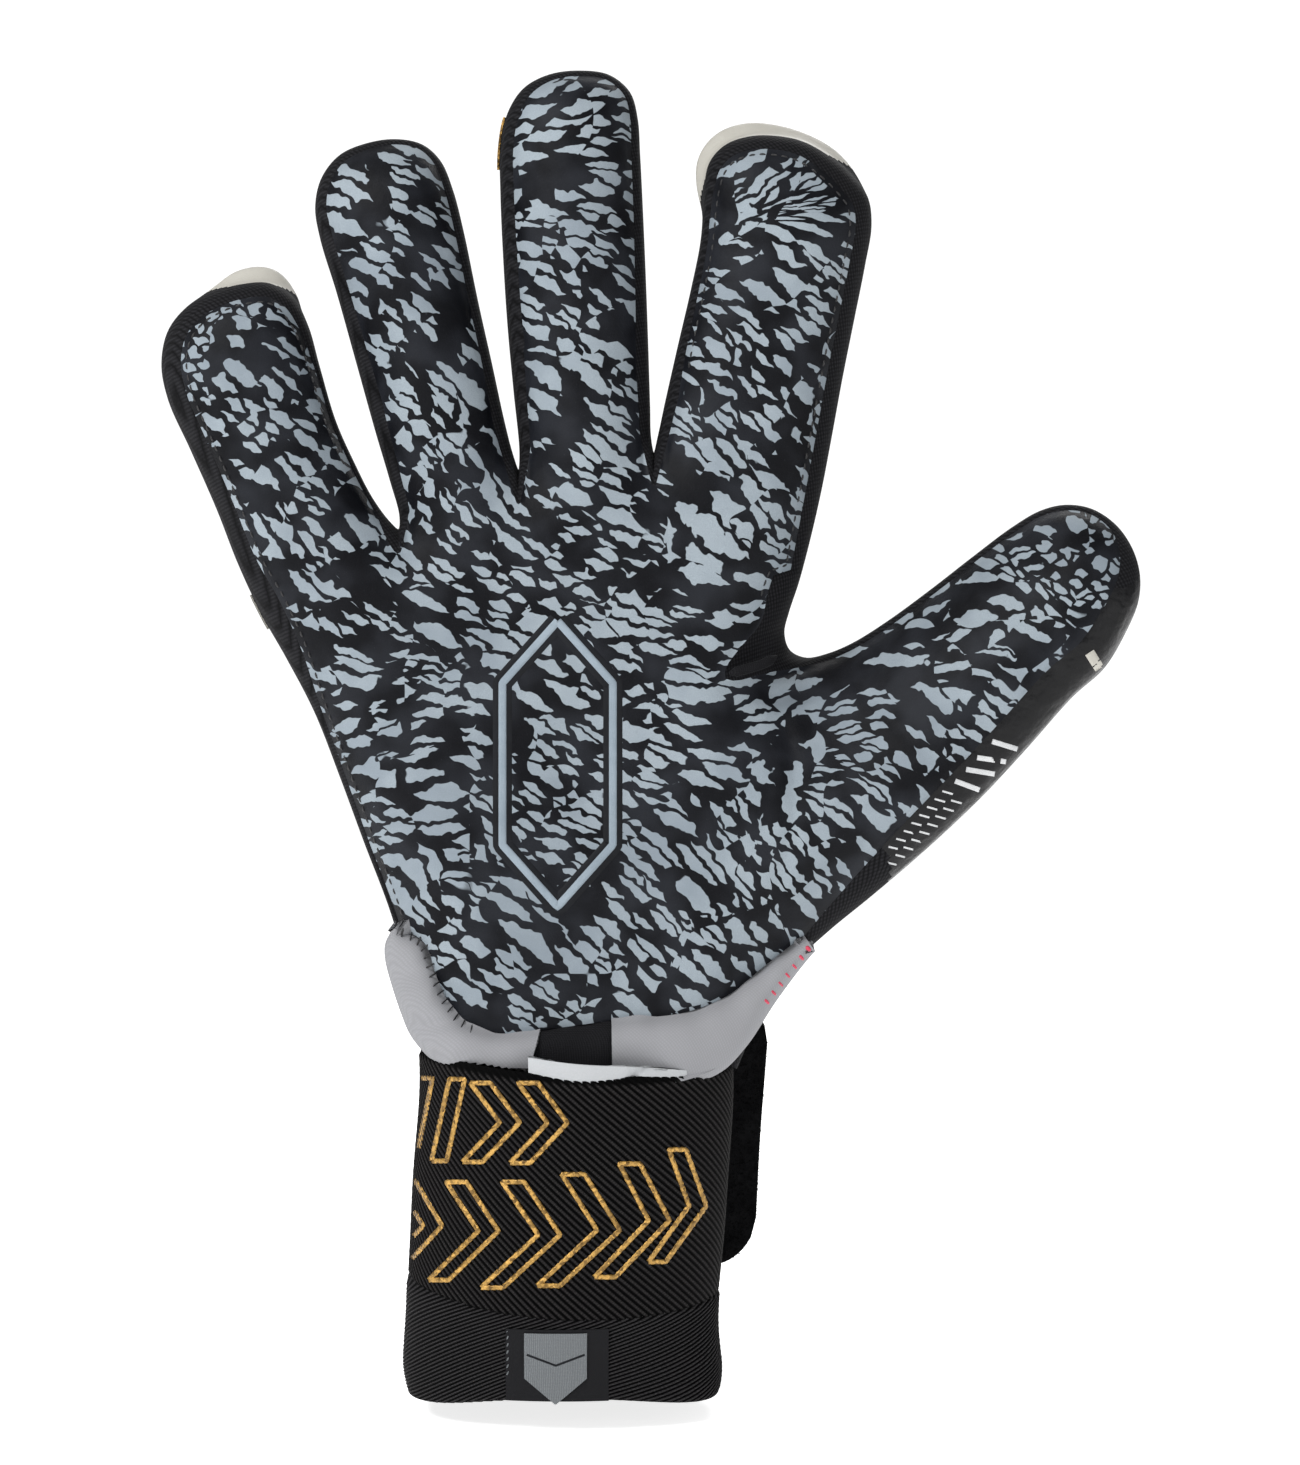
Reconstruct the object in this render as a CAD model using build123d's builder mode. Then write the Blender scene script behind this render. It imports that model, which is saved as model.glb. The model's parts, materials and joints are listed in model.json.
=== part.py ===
"""A right-hand goalkeeper glove as separate sewn pieces, in millimetres.

+Z runs from the cuff to the fingertips, +X to the thumb side, and the palm faces -Y.
The origin is the centre of the cuff's open end, in the plane of its hem.
Each finger is cut at two creases, so that it folds at its base and at its middle.
"""

import os
from collections import namedtuple
from math import cos, radians, sin

from build123d import *

# Layers, as distances from the Y = 0 plane towards the palm (front) or the back of the hand.
FRONT = 13.0  # outer face of the palm latex
LATEX = 4.0
FOAM = 2.5
CAVITY_FRONT = FRONT - LATEX - FOAM
FINGER_BACK = 12.0
BACK_PANEL = 3.5
SIDE_WALL = 3.0
CREASE_GAP = 0.4  # free space at each folding crease
REACH = 60.0  # half size of the slabs that cut the pieces apart
ALL = (-300.0, 300.0)

# Each finger: foot of its middle line in X and Z, lean to the thumb side in degrees, length, widths at
# foot and tip, corner radius of the tip, and where its knuckle and middle creases lie along it.
Finger = namedtuple("Finger", "name x z lean length foot tip corner knuckle middle")
FINGERS = [
    Finger("little", -49.0, 173.5, -19.6, 65.5, 32.5, 31.0, 12.0, 7.0, 33.0),
    Finger("ring", -20.5, 185.9, -13.8, 80.5, 27.0, 28.6, 13.5, 8.0, 41.0),
    Finger("middle", 5.3, 191.8, -1.6, 87.7, 27.6, 29.2, 13.8, 8.0, 44.0),
    Finger("index", 36.6, 188.8, 11.1, 79.4, 34.6, 34.8, 13.0, 8.0, 41.0),
]
THUMB = Finger("thumb", 58.5, 132.5, 49.5, 78.0, 47.0, 33.0, 15.5, 12.0, 45.0)
THUMB_ROLL = 24.0  # degrees that the thumb's palm side turns towards the index finger
THUMB_TILT = 8.0  # degrees that the thumb leans forward
THUMB_Y = 2.0
THUMB_SWEEP = (-27.0, 30.0)  # span across the thumb that the hand leaves free for it to fold
FINGER_ROUND = 5.0
FOOT_DEPTH = 14.0  # how far a finger's foot reaches down inside the hand

# Outline of the hand between wrist and fingers, in X and Z: up the little finger's side, over the
# three finger crotches and down the thumb's side.
HAND_OUTLINE = [
    (-31.0, 72.0),
    (-36.5, 95.0),
    (-43.0, 124.0),
    (-55.0, 152.0),
    (-63.5, 169.5),
    (-32.6, 179.0),
    (-8.4, 188.8),
    (19.3, 192.2),
    (53.5, 185.4),
    (48.5, 167.0),
    (46.2, 157.0),
    (79.0, 121.0),
    (64.5, 105.5),
    (52.0, 96.0),
    (38.0, 72.0),
]
# Outer face of the back of the hand seen from the side, in Y and Z.
BACK_LINE = [(22.0, 60.0), (22.0, 72.0), (21.0, 105.0), (20.5, 150.0), (12.5, 196.0), (12.0, 215.0)]
KNUCKLE_PAD = 2.5
KNUCKLE_PAD_X = (-44.0, 34.0)
KNUCKLE_PAD_Z = (154.0, 178.0)

# Lower edge of the palm latex, where the padded heel binding takes over, in X and Z.
HEEL_EDGE = [
    (-38.0, 99.5),
    (-28.5, 95.5),
    (-24.5, 85.0),
    (-18.0, 78.5),
    (11.5, 80.0),
    (35.0, 85.0),
    (58.0, 100.2),
]
HEEL_BOTTOM = 72.0
HEEL_PROUD = 4.0  # how far the heel binding stands in front of the latex
HEEL_TAB = (-7.5, 11.5)  # X range of the black tab between the two lengths of binding

# Raised outline on the palm.
EMBLEM_CENTRE = (-0.5, 134.0)
EMBLEM_SIZE = (25.0, 62.0)
EMBLEM_POINT = 14.0
EMBLEM_LINE = 2.0
EMBLEM_RAISED = 0.5

# Wrist: an elliptical elastic cuff that widens to its hem, with a strap round it.
CUFF_A = 29.5
CUFF_B = 20.0
CUFF_WALL = 2.0
CUFF_FLARE = 3.7
CUFF_FLARE_Z = (17.0, 21.0)
STRAP_THICK = 2.5
STRAP_Z = (21.0, 71.0)
LOOP_THICK = 1.0
LOOP_X = (-20.0, 7.0)
LOOP_Z = (25.0, 67.0)
HOOK_THICK = 1.0
FLAP_CLEAR = 0.4  # free space between hook and loop, and at the flap's sewn end
FLAP_THICK = 2.2
FLAP_Z = (27.0, 81.0)
FLAP_LEFT = -24.0  # X of the sewn end that the closure flap turns about
FLAP_SPLIT = 8.0  # X where the flap leaves the wrist and stands free
FLAP_END = (44.0, 26.5)  # X and Y of the inner face at its free end
FLAP_CORNER = 12.0
FLAP_SHOULDER = 14.0  # X beyond which the flap stands higher than the strap
SEAM_TAPE_LEFT = -28.5
BADGE_THICK = 1.8
BADGE_X = (-16.0, 4.0)
BADGE_Z = (38.0, 70.0)
LABEL_THICK = 0.8
CARE_LABEL_X = (-8.0, 40.0)
CARE_LABEL_Z = (67.5, 72.0)
CUFF_LABEL_X = (-10.5, 9.5)
CUFF_LABEL_Z = (0.5, 16.0)
PRINT_THICK = 0.3
PRINT_X = (-4.5, 3.5)
PRINT_Z = (4.0, 12.0)


def finger_plane(f):
    """Plane of a finger: X across it, Y along it and Z out of its palm side."""
    is_thumb = f.name == "thumb"
    tilt, roll = (radians(THUMB_TILT), radians(THUMB_ROLL)) if is_thumb else (0.0, 0.0)
    lean = radians(f.lean)
    along = Vector(sin(lean) * cos(tilt), -sin(tilt), cos(lean) * cos(tilt))
    flat_across = Vector(cos(lean), 0, -sin(lean))
    across = flat_across * cos(roll) + flat_across.cross(along) * sin(roll)
    origin = (f.x, THUMB_Y if is_thumb else 0, f.z)
    return Plane(origin=origin, x_dir=across, z_dir=across.cross(along))


def finger_block(f, inset, front, back, rounding):
    """Solid finger with a tapered outline and a round tip, its outline inset from the outer one."""
    plane = finger_plane(f)
    foot, tip, end = f.foot / 2 - inset, f.tip / 2 - inset, f.length - inset
    with BuildPart() as block:
        with BuildSketch(plane.offset(-back)) as outline:
            with BuildLine():
                Polyline((-foot, -FOOT_DEPTH), (-tip, end), (tip, end), (foot, -FOOT_DEPTH), close=True)
            make_face()
            fillet(outline.vertices().group_by(Axis.Y)[-1], f.corner - inset)
        extrude(amount=front + back)
        if rounding:
            levels = block.faces().sort_by(Axis(plane.origin, plane.z_dir))
            fillet(levels[0].edges() + levels[-1].edges(), rounding)
    return block.part


def slab(plane, along, depth, across=(-REACH, REACH)):
    """Box in a finger's plane that spans the given distances along, out of and across it."""
    with BuildPart() as box:
        with BuildSketch(plane.offset(depth[0])):
            with Locations(((across[0] + across[1]) / 2, (along[0] + along[1]) / 2)):
                Rectangle(across[1] - across[0], along[1] - along[0])
        extrude(amount=depth[1] - depth[0])
    return box.part


def region(x_range=ALL, y_range=ALL, z_range=ALL):
    """Box in the glove's own axes."""
    return slab(Plane.XY, y_range, z_range, x_range)


def finger_foot(f, inset, front, back, end):
    """The length of a finger below the distance end along it."""
    with BuildPart() as foot:
        add(finger_block(f, inset, front, back, 0))
        add(slab(finger_plane(f), (-REACH, end), (-REACH, REACH)), mode=Mode.INTERSECT)
    return foot.part


def hand_block(inset, front, back_inset):
    """Solid hand between wrist and fingers: its outline cut to its side profile."""
    with BuildPart() as block:
        with BuildSketch(Plane.XZ):
            with BuildLine():
                Polyline(*HAND_OUTLINE, close=True)
            make_face()
            if inset:
                offset(amount=-inset, kind=Kind.INTERSECTION)
        extrude(amount=REACH, both=True)
        if inset:
            wrist_end = (HAND_OUTLINE[0][0] + inset, HAND_OUTLINE[-1][0] - inset)
            add(region(wrist_end, ALL, (HEEL_BOTTOM - inset, HEEL_BOTTOM + inset)))
        profile = [(y - back_inset, z) for y, z in BACK_LINE]
        with BuildSketch(Plane.YZ):
            with BuildLine():
                Polyline((-front, BACK_LINE[0][1]), *profile, (-front, BACK_LINE[-1][1]), close=True)
            make_face()
        extrude(amount=2 * REACH, both=True, mode=Mode.INTERSECT)
    return block.part


def above_heel_edge():
    """Everything on the finger side of the lower edge of the palm latex."""
    with BuildPart() as prism:
        with BuildSketch(Plane.XZ):
            with BuildLine():
                first, last, top = HEEL_EDGE[0], HEEL_EDGE[-1], ALL[1]
                Polyline((-top, first[1]), *HEEL_EDGE, (top, last[1]), (top, top), (-top, top), close=True)
            make_face()
        extrude(amount=REACH, both=True)
    return prism.part


def back_layer(inner, outer):
    """Prism across the whole hand between two distances outside its back line."""
    inside = [(y + inner, z) for y, z in BACK_LINE]
    outside = [(y + outer, z) for y, z in reversed(BACK_LINE)]
    with BuildPart() as layer:
        with BuildSketch(Plane.YZ):
            with BuildLine():
                Polyline(*inside, *outside, close=True)
            make_face()
        extrude(amount=2 * REACH, both=True)
    return layer.part


def wrist_band(inner, outer, z_range):
    """Elliptical band between two distances outside the cuff."""
    with BuildPart() as band:
        with BuildSketch(Plane.XY.offset(z_range[0])):
            Ellipse(CUFF_A + outer, CUFF_B + outer)
            Ellipse(CUFF_A + inner, CUFF_B + inner, mode=Mode.SUBTRACT)
        extrude(amount=z_range[1] - z_range[0])
    return band.part


def cuff_block(inset):
    """Solid cuff that widens towards its hem."""
    hem, top = CUFF_FLARE - inset, -inset
    levels = [(0.0, hem), (CUFF_FLARE_Z[0], hem), (CUFF_FLARE_Z[1], top), (HEEL_BOTTOM, top)]
    with BuildPart() as block:
        for z, grow in levels:
            with BuildSketch(Plane.XY.offset(z)):
                Ellipse(CUFF_A + grow, CUFF_B + grow)
        loft(ruled=True)
    return block.part


def keep(piece, name):
    """Labels a finished piece and writes it as its own file."""
    piece.part.label = name
    export_step(piece.part, f"parts/{name}.step")


def keep_common(name, whole, *limits):
    """Keeps what a larger shape has in common with each of the limits."""
    with BuildPart() as piece:
        add(whole)
        for limit in limits:
            add(limit, mode=Mode.INTERSECT)
    keep(piece, name)


os.makedirs("parts", exist_ok=True)

# Fingers and thumb: a front panel, a back panel and the gusset between them, in two lengths each.
for finger in FINGERS + [THUMB]:
    finger_axes = finger_plane(finger)
    inner_face = BACK_PANEL - FINGER_BACK
    with BuildPart() as finger_shell:
        add(finger_block(finger, 0, FRONT, FINGER_BACK, FINGER_ROUND))
        add(finger_block(finger, SIDE_WALL, CAVITY_FRONT, -inner_face, 0), mode=Mode.SUBTRACT)
    lengths = {
        "base": (finger.knuckle + CREASE_GAP, finger.middle),
        "tip": (finger.middle + CREASE_GAP, 2 * REACH),
    }
    layers = {
        "front_panel": (CAVITY_FRONT, REACH),
        "gusset": (inner_face, CAVITY_FRONT),
        "back_panel": (-REACH, inner_face),
    }
    for length_name, along in lengths.items():
        for layer_name, depth in layers.items():
            piece_name = f"{finger.name}_{length_name}_{layer_name}"
            keep_common(piece_name, finger_shell.part, slab(finger_axes, along, depth))

# Hand: a hollow shell with the feet of all five fingers, cut into its sewn pieces.
with BuildPart() as hand_hollow:
    add(hand_block(SIDE_WALL, CAVITY_FRONT, BACK_PANEL))
    for finger in FINGERS + [THUMB]:
        add(finger_foot(finger, SIDE_WALL, CAVITY_FRONT, FINGER_BACK - BACK_PANEL, REACH))
with BuildPart() as hand_shell:
    add(hand_block(0, FRONT, 0))
    for finger in FINGERS + [THUMB]:
        add(finger_foot(finger, 0, FRONT, FINGER_BACK, finger.knuckle))
    thumb_room = slab(finger_plane(THUMB), (THUMB.knuckle, 2 * REACH), (-REACH, REACH), THUMB_SWEEP)
    add(thumb_room, mode=Mode.SUBTRACT)
    add(hand_hollow.part, mode=Mode.SUBTRACT)

latex_y = (-REACH, LATEX - FRONT)
foam_y = (LATEX - FRONT, -CAVITY_FRONT)
wall_y = (-CAVITY_FRONT, REACH)
keep_common("palm_latex", hand_shell.part, region(y_range=latex_y), above_heel_edge())
keep_common("palm_foam", hand_shell.part, region(y_range=foam_y), above_heel_edge())
with BuildPart() as back_pieces:
    add(hand_shell.part)
    add(back_layer(-BACK_PANEL, REACH), mode=Mode.INTERSECT)
keep_common("backhand_panel", back_pieces.solids().sort_by(SortBy.VOLUME)[-1])

with BuildPart() as hand_walls:
    add(hand_shell.part)
    add(region(y_range=wall_y), mode=Mode.INTERSECT)
    add(back_layer(-BACK_PANEL, REACH), mode=Mode.SUBTRACT)

little_side_x, web_z, thumb_web_x, thumb_side_z = -45.0, 160.0, 40.0, 121.0
with BuildPart() as little_side:
    add(region((ALL[0], little_side_x)))
    add(region((ALL[0], 0), ALL, (0, web_z)))
keep_common("little_side_gusset", hand_walls.part, little_side.part)
keep_common("finger_webs", hand_walls.part, region((little_side_x, thumb_web_x), ALL, (web_z, ALL[1])))
keep_common("thumb_web_gusset", hand_walls.part, region((thumb_web_x, ALL[1]), ALL, (thumb_side_z, ALL[1])))
keep_common("thumb_side_gusset", hand_walls.part, region((0, ALL[1]), ALL, (0, thumb_side_z)))

knuckle_area = region(KNUCKLE_PAD_X, ALL, KNUCKLE_PAD_Z)
keep_common("knuckle_pad", back_layer(0, KNUCKLE_PAD), knuckle_area)

with BuildPart() as palm_emblem:
    with BuildSketch(Plane.XZ.offset(FRONT)):
        with BuildLine():
            x, z = EMBLEM_CENTRE
            half_x, half_z = EMBLEM_SIZE[0] / 2, EMBLEM_SIZE[1] / 2
            left, right = x - half_x, x + half_x
            low, high = z - half_z + EMBLEM_POINT, z + half_z - EMBLEM_POINT
            points = [(x, z + half_z), (right, high), (right, low), (x, z - half_z), (left, low), (left, high)]
            Polyline(*points, close=True)
        make_face()
        offset(amount=-EMBLEM_LINE, mode=Mode.SUBTRACT)
    extrude(amount=EMBLEM_RAISED)
keep(palm_emblem, "palm_emblem")

# Padded heel binding below the palm latex, in two lengths with a tab between them.
with BuildPart() as heel:
    with BuildSketch(Plane.XZ.offset(CAVITY_FRONT)):
        with BuildLine():
            Polyline(*HAND_OUTLINE, close=True)
        make_face()
    extrude(amount=LATEX + FOAM + HEEL_PROUD)
    add(above_heel_edge(), mode=Mode.SUBTRACT)
keep_common("heel_binding_left", heel.part, region((ALL[0], HEEL_TAB[0])))
keep_common("heel_tab", heel.part, region(HEEL_TAB))
keep_common("heel_binding_right", heel.part, region((HEEL_TAB[1], ALL[1])))

# Wrist.
with BuildPart() as cuff:
    add(cuff_block(0))
    add(cuff_block(CUFF_WALL), mode=Mode.SUBTRACT)
keep(cuff, "cuff")

front_half, back_half = (ALL[0], 0), (0, ALL[1])
loop_face = STRAP_THICK + LOOP_THICK
hook_face = loop_face + FLAP_CLEAR
flap_face = hook_face + HOOK_THICK
badge_face = flap_face + FLAP_THICK
with BuildPart() as wrist_strap:
    add(wrist_band(0, STRAP_THICK, STRAP_Z))
keep(wrist_strap, "wrist_strap")
keep_common("loop_patch", wrist_band(STRAP_THICK, loop_face, LOOP_Z), region(LOOP_X, back_half))
seam_area = region((SEAM_TAPE_LEFT, FLAP_LEFT - FLAP_CLEAR), back_half)
keep_common("flap_seam_tape", wrist_band(STRAP_THICK, badge_face, (FLAP_Z[0], STRAP_Z[1])), seam_area)
care_area = region(CARE_LABEL_X, front_half)
keep_common("care_label", wrist_band(STRAP_THICK, STRAP_THICK + LABEL_THICK, CARE_LABEL_Z), care_area)
label_face = CUFF_FLARE + LABEL_THICK
label_area = region(CUFF_LABEL_X, front_half)
keep_common("cuff_label", wrist_band(CUFF_FLARE, label_face, CUFF_LABEL_Z), label_area)
print_area = region(PRINT_X, front_half)
keep_common("cuff_label_print", wrist_band(label_face, label_face + PRINT_THICK, PRINT_Z), print_area)

# Closure flap: it follows the wrist from its sewn end and stands free beyond the other side.
with BuildPart() as closure_flap:
    add(wrist_band(flap_face, badge_face, FLAP_Z))
    add(region((FLAP_LEFT, FLAP_SPLIT), back_half), mode=Mode.INTERSECT)
    split_face = closure_flap.faces().sort_by(Axis.X)[-1]
    near_y, far_y = split_face.bounding_box().min.Y, split_face.bounding_box().max.Y
    with BuildSketch(Plane.XY.offset(FLAP_Z[0])):
        with BuildLine():
            end_x, end_y = FLAP_END
            corners = [(FLAP_SPLIT, near_y), (end_x, end_y), (end_x, end_y + FLAP_THICK), (FLAP_SPLIT, far_y)]
            Polyline(*corners, close=True)
        make_face()
    extrude(amount=FLAP_Z[1] - FLAP_Z[0])
    end_edges = closure_flap.faces().sort_by(Axis.X)[-1].edges()
    fillet(end_edges.group_by(Axis.Z)[0] + end_edges.group_by(Axis.Z)[-1], FLAP_CORNER)
    hand_side = region((ALL[0], FLAP_SHOULDER), ALL, (STRAP_Z[1], ALL[1]))
    add(hand_side, mode=Mode.SUBTRACT)
keep(closure_flap, "closure_flap")
keep_common("hook_patch", wrist_band(hook_face, flap_face, LOOP_Z), region(LOOP_X, back_half))
keep_common("flap_badge", wrist_band(badge_face, badge_face + BADGE_THICK, BADGE_Z), region(BADGE_X, back_half))
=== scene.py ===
import json
import math

import bpy
import numpy as np
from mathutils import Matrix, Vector, geometry
from mathutils.bvhtree import BVHTree

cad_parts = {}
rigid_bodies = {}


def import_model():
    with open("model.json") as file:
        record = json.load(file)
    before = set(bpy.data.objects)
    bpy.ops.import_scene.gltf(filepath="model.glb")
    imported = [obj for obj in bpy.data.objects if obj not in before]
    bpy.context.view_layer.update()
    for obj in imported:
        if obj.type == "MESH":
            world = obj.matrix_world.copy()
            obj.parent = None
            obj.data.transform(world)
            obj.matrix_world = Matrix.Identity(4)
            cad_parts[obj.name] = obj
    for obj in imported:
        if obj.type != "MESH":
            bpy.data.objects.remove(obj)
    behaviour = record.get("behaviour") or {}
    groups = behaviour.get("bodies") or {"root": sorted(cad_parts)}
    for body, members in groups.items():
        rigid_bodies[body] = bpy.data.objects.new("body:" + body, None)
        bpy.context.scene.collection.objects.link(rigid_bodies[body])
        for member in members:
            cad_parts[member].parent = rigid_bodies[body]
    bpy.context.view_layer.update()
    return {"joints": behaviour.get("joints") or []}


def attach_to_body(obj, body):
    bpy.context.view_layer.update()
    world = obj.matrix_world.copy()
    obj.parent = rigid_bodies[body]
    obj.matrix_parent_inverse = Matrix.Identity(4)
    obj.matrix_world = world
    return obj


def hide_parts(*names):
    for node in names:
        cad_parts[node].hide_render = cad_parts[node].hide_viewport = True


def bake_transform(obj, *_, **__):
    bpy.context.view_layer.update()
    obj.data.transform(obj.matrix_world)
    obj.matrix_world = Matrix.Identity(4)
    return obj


# A right-hand goalkeeper glove: +Z to the fingertips, +X to the thumb side, palm facing -Y.
# Design sizes here are millimetres, as in the model; meshes are written in metres.
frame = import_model()
MM = 0.001
rng = np.random.default_rng(7)

JOINTS = {j["name"]: j for j in frame["joints"]}
DIGITS = ("little", "ring", "middle", "index", "thumb")
# Along each digit: where its knuckle is, and where its second length begins; then its half width.
KNUCKLE_AT = dict(zip(DIGITS, [7.0, 8.0, 8.0, 8.0, 12.0]))
SPLIT_AT = dict(zip(DIGITS, [19.5, 24.5, 25.0, 24.5, 28.0]))
HALF_WIDTH = dict(zip(DIGITS, [16.0, 14.3, 14.6, 17.4, 22.0]))
FRONT, BACK = 13.0, 12.0  # from the digits' middle plane to their palm side, and to their back


# ---- helpers: curves and meshes


def smooth(low, high, x):
    """Smooth step from 0 at low to 1 at high."""
    t = np.clip((x - low) / (high - low), 0, 1)
    return t * t * (3 - 2 * t)


def spline(points, fine=24):
    """Dense centripetal Catmull-Rom curve through rows of numbers, whose first two are a place."""
    p = np.array(points, float)
    p = np.vstack([2 * p[0] - p[1], p, 2 * p[-1] - p[-2]])
    out = []
    for i in range(1, len(p) - 2):
        a, b, c, d = p[i - 1], p[i], p[i + 1], p[i + 2]
        gaps = [max(np.hypot(*(v - u)[:2]), 1e-6) ** 0.5 for u, v in ((a, b), (b, c), (c, d))]
        t0, t1 = 0.0, gaps[0]
        t2, t3 = t1 + gaps[1], t1 + gaps[1] + gaps[2]
        t = np.linspace(t1, t2, fine, endpoint=False)[:, None]
        ab = (t1 - t) / (t1 - t0) * a + (t - t0) / (t1 - t0) * b
        bc = (t2 - t) / (t2 - t1) * b + (t - t1) / (t2 - t1) * c
        cd = (t3 - t) / (t3 - t2) * c + (t - t2) / (t3 - t2) * d
        abc = (t2 - t) / (t2 - t0) * ab + (t - t0) / (t2 - t0) * bc
        bcd = (t3 - t) / (t3 - t1) * bc + (t - t1) / (t3 - t1) * cd
        out.append((t2 - t) / (t2 - t1) * abc + (t - t1) / (t2 - t1) * bcd)
    return np.vstack(out + [p[-2][None]])


def resample(rows, step, weight=None):
    """Rows along a curve at an even step of length, or of weighted length."""
    lengths = np.hypot(*np.diff(rows[:, :2], axis=0).T)
    if weight is not None:
        lengths = lengths * weight
    s = np.concatenate([[0], np.cumsum(lengths)])
    count = max(2, int(round(s[-1] / step)) + 1)
    at = np.linspace(0, s[-1], count)
    return np.stack([np.interp(at, s, rows[:, k]) for k in range(rows.shape[1])], axis=1)


def side_normals(line):
    """Unit normals to the right of the direction of travel along a line in X and Z."""
    t = np.gradient(line, axis=0)
    n = np.stack([t[:, 1], -t[:, 0]], axis=1)
    return n / np.maximum(np.linalg.norm(n, axis=1), 1e-9)[:, None]


CHUNK = 1500  # how many places are compared at once, to save memory


def distance_to(points, line, closed=False):
    """Distance of each point to a polyline, and the index of its nearest vertex."""
    a = line if not closed else np.vstack([line, line[:1]])
    p0, p1 = a[:-1], a[1:]
    d = p1 - p0
    dd = np.maximum((d**2).sum(1), 1e-12)
    best, index = np.empty(len(points)), np.empty(len(points), int)
    for k in range(0, len(points), CHUNK):
        q = points[k : k + CHUNK]
        rel = q[:, None, :] - p0[None]
        t = np.clip((rel * d).sum(2) / dd, 0, 1)
        gap = ((rel - t[..., None] * d) ** 2).sum(2)
        j = gap.argmin(1)
        best[k : k + CHUNK] = np.sqrt(gap[np.arange(len(q)), j])
        index[k : k + CHUNK] = j
    return best, np.minimum(index, len(line) - 1)


def inside(points, polygon):
    """Which points lie inside a closed polygon."""
    x0, z0 = polygon[:, 0], polygon[:, 1]
    x1, z1 = np.roll(x0, -1), np.roll(z0, -1)
    result = np.zeros(len(points), bool)
    for k in range(0, len(points), CHUNK):
        x, z = points[k : k + CHUNK, :1], points[k : k + CHUNK, 1:2]
        crosses = (z0 > z) != (z1 > z)
        at = (x1 - x0) * (z - z0) / np.where(z1 == z0, 1e-9, z1 - z0) + x0
        result[k : k + CHUNK] = ((crosses & (x < at)).sum(1) % 2).astype(bool)
    return result


def new_object(name, verts, faces, material, normals=None, attributes=None):
    """A smooth-shaded mesh object from places in millimetres, which it keeps unless told what to keep."""
    mesh = bpy.data.meshes.new(name)
    mesh.from_pydata((np.asarray(verts) * MM).tolist(), [], [tuple(int(i) for i in f) for f in faces])
    mesh.validate()
    mesh.shade_smooth()
    for key, values in (attributes or {"rest": verts}).items():
        attribute = mesh.attributes.new(key, "FLOAT_VECTOR", "POINT")
        attribute.data.foreach_set("vector", np.asarray(values, np.float32).ravel())
    if normals is not None:
        mesh.normals_split_custom_set_from_vertices(np.asarray(normals).tolist())
    mesh.materials.append(material)
    obj = bpy.data.objects.new(name, mesh)
    bpy.context.scene.collection.objects.link(obj)
    return obj


def vertex_normals(verts, faces):
    """Area-weighted vertex normals of triangles or quads."""
    n = np.zeros_like(verts)
    f = np.asarray(faces)
    cross = np.cross(verts[f[:, 2]] - verts[f[:, 0]], verts[f[:, -1]] - verts[f[:, 1]])
    if f.shape[1] == 3:
        cross = np.cross(verts[f[:, 1]] - verts[f[:, 0]], verts[f[:, 2]] - verts[f[:, 0]])
    for k in range(f.shape[1]):
        np.add.at(n, f[:, k], cross)
    return n / np.maximum(np.linalg.norm(n, axis=1), 1e-9)[:, None]


def thicken(verts, faces, normals, thickness):
    """Closes a surface into a panel by adding an inner side and its edges."""
    count = len(verts)
    inner = verts - normals * thickness
    edges = {}
    for f in faces:
        for a, b in zip(f, np.roll(f, -1)):
            edges[(int(a), int(b))] = edges.get((int(a), int(b)), 0) + 1
    rim = [(b, a, a + count, b + count) for (a, b) in edges if (b, a) not in edges]
    back = [tuple(int(i) + count for i in reversed(f)) for f in faces]
    return np.vstack([verts, inner]), [tuple(f) for f in faces] + back + rim


# ---- digits, from the joints


class Digit:
    """A finger's or thumb's own axes: along, across and out of its palm side."""

    def __init__(self, name):
        first, second = JOINTS[f"{name}_knuckle_fold"], JOINTS[f"{name}_middle_fold"]
        hinge = np.array(first["pos_m"]) / MM
        self.across = np.array(first["axis"], float)
        step = np.array(second["pos_m"]) / MM - hinge
        self.along = step / np.linalg.norm(step)
        self.out = np.cross(self.across, self.along)
        self.foot = hinge - self.along * KNUCKLE_AT[name] - self.out * FRONT

    def mid_y(self, xz):
        """Y of the digit's middle plane over places in X and Z."""
        rel_x, rel_z = xz[:, 0] - self.foot[0], xz[:, 1] - self.foot[2]
        return self.foot[1] - (rel_x * self.out[0] + rel_z * self.out[2]) / self.out[1]

    def local(self, xz):
        """Distances across and along the digit of places in X and Z on its middle plane."""
        p = np.stack([xz[:, 0], self.mid_y(xz), xz[:, 1]], axis=1) - self.foot
        return p @ self.across, p @ self.along

    def point(self, at):
        """Place in metres on the digit's middle line."""
        return (self.foot + self.along * at) * MM


digits = {name: Digit(name) for name in DIGITS}

# ---- outline of the hand

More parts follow.
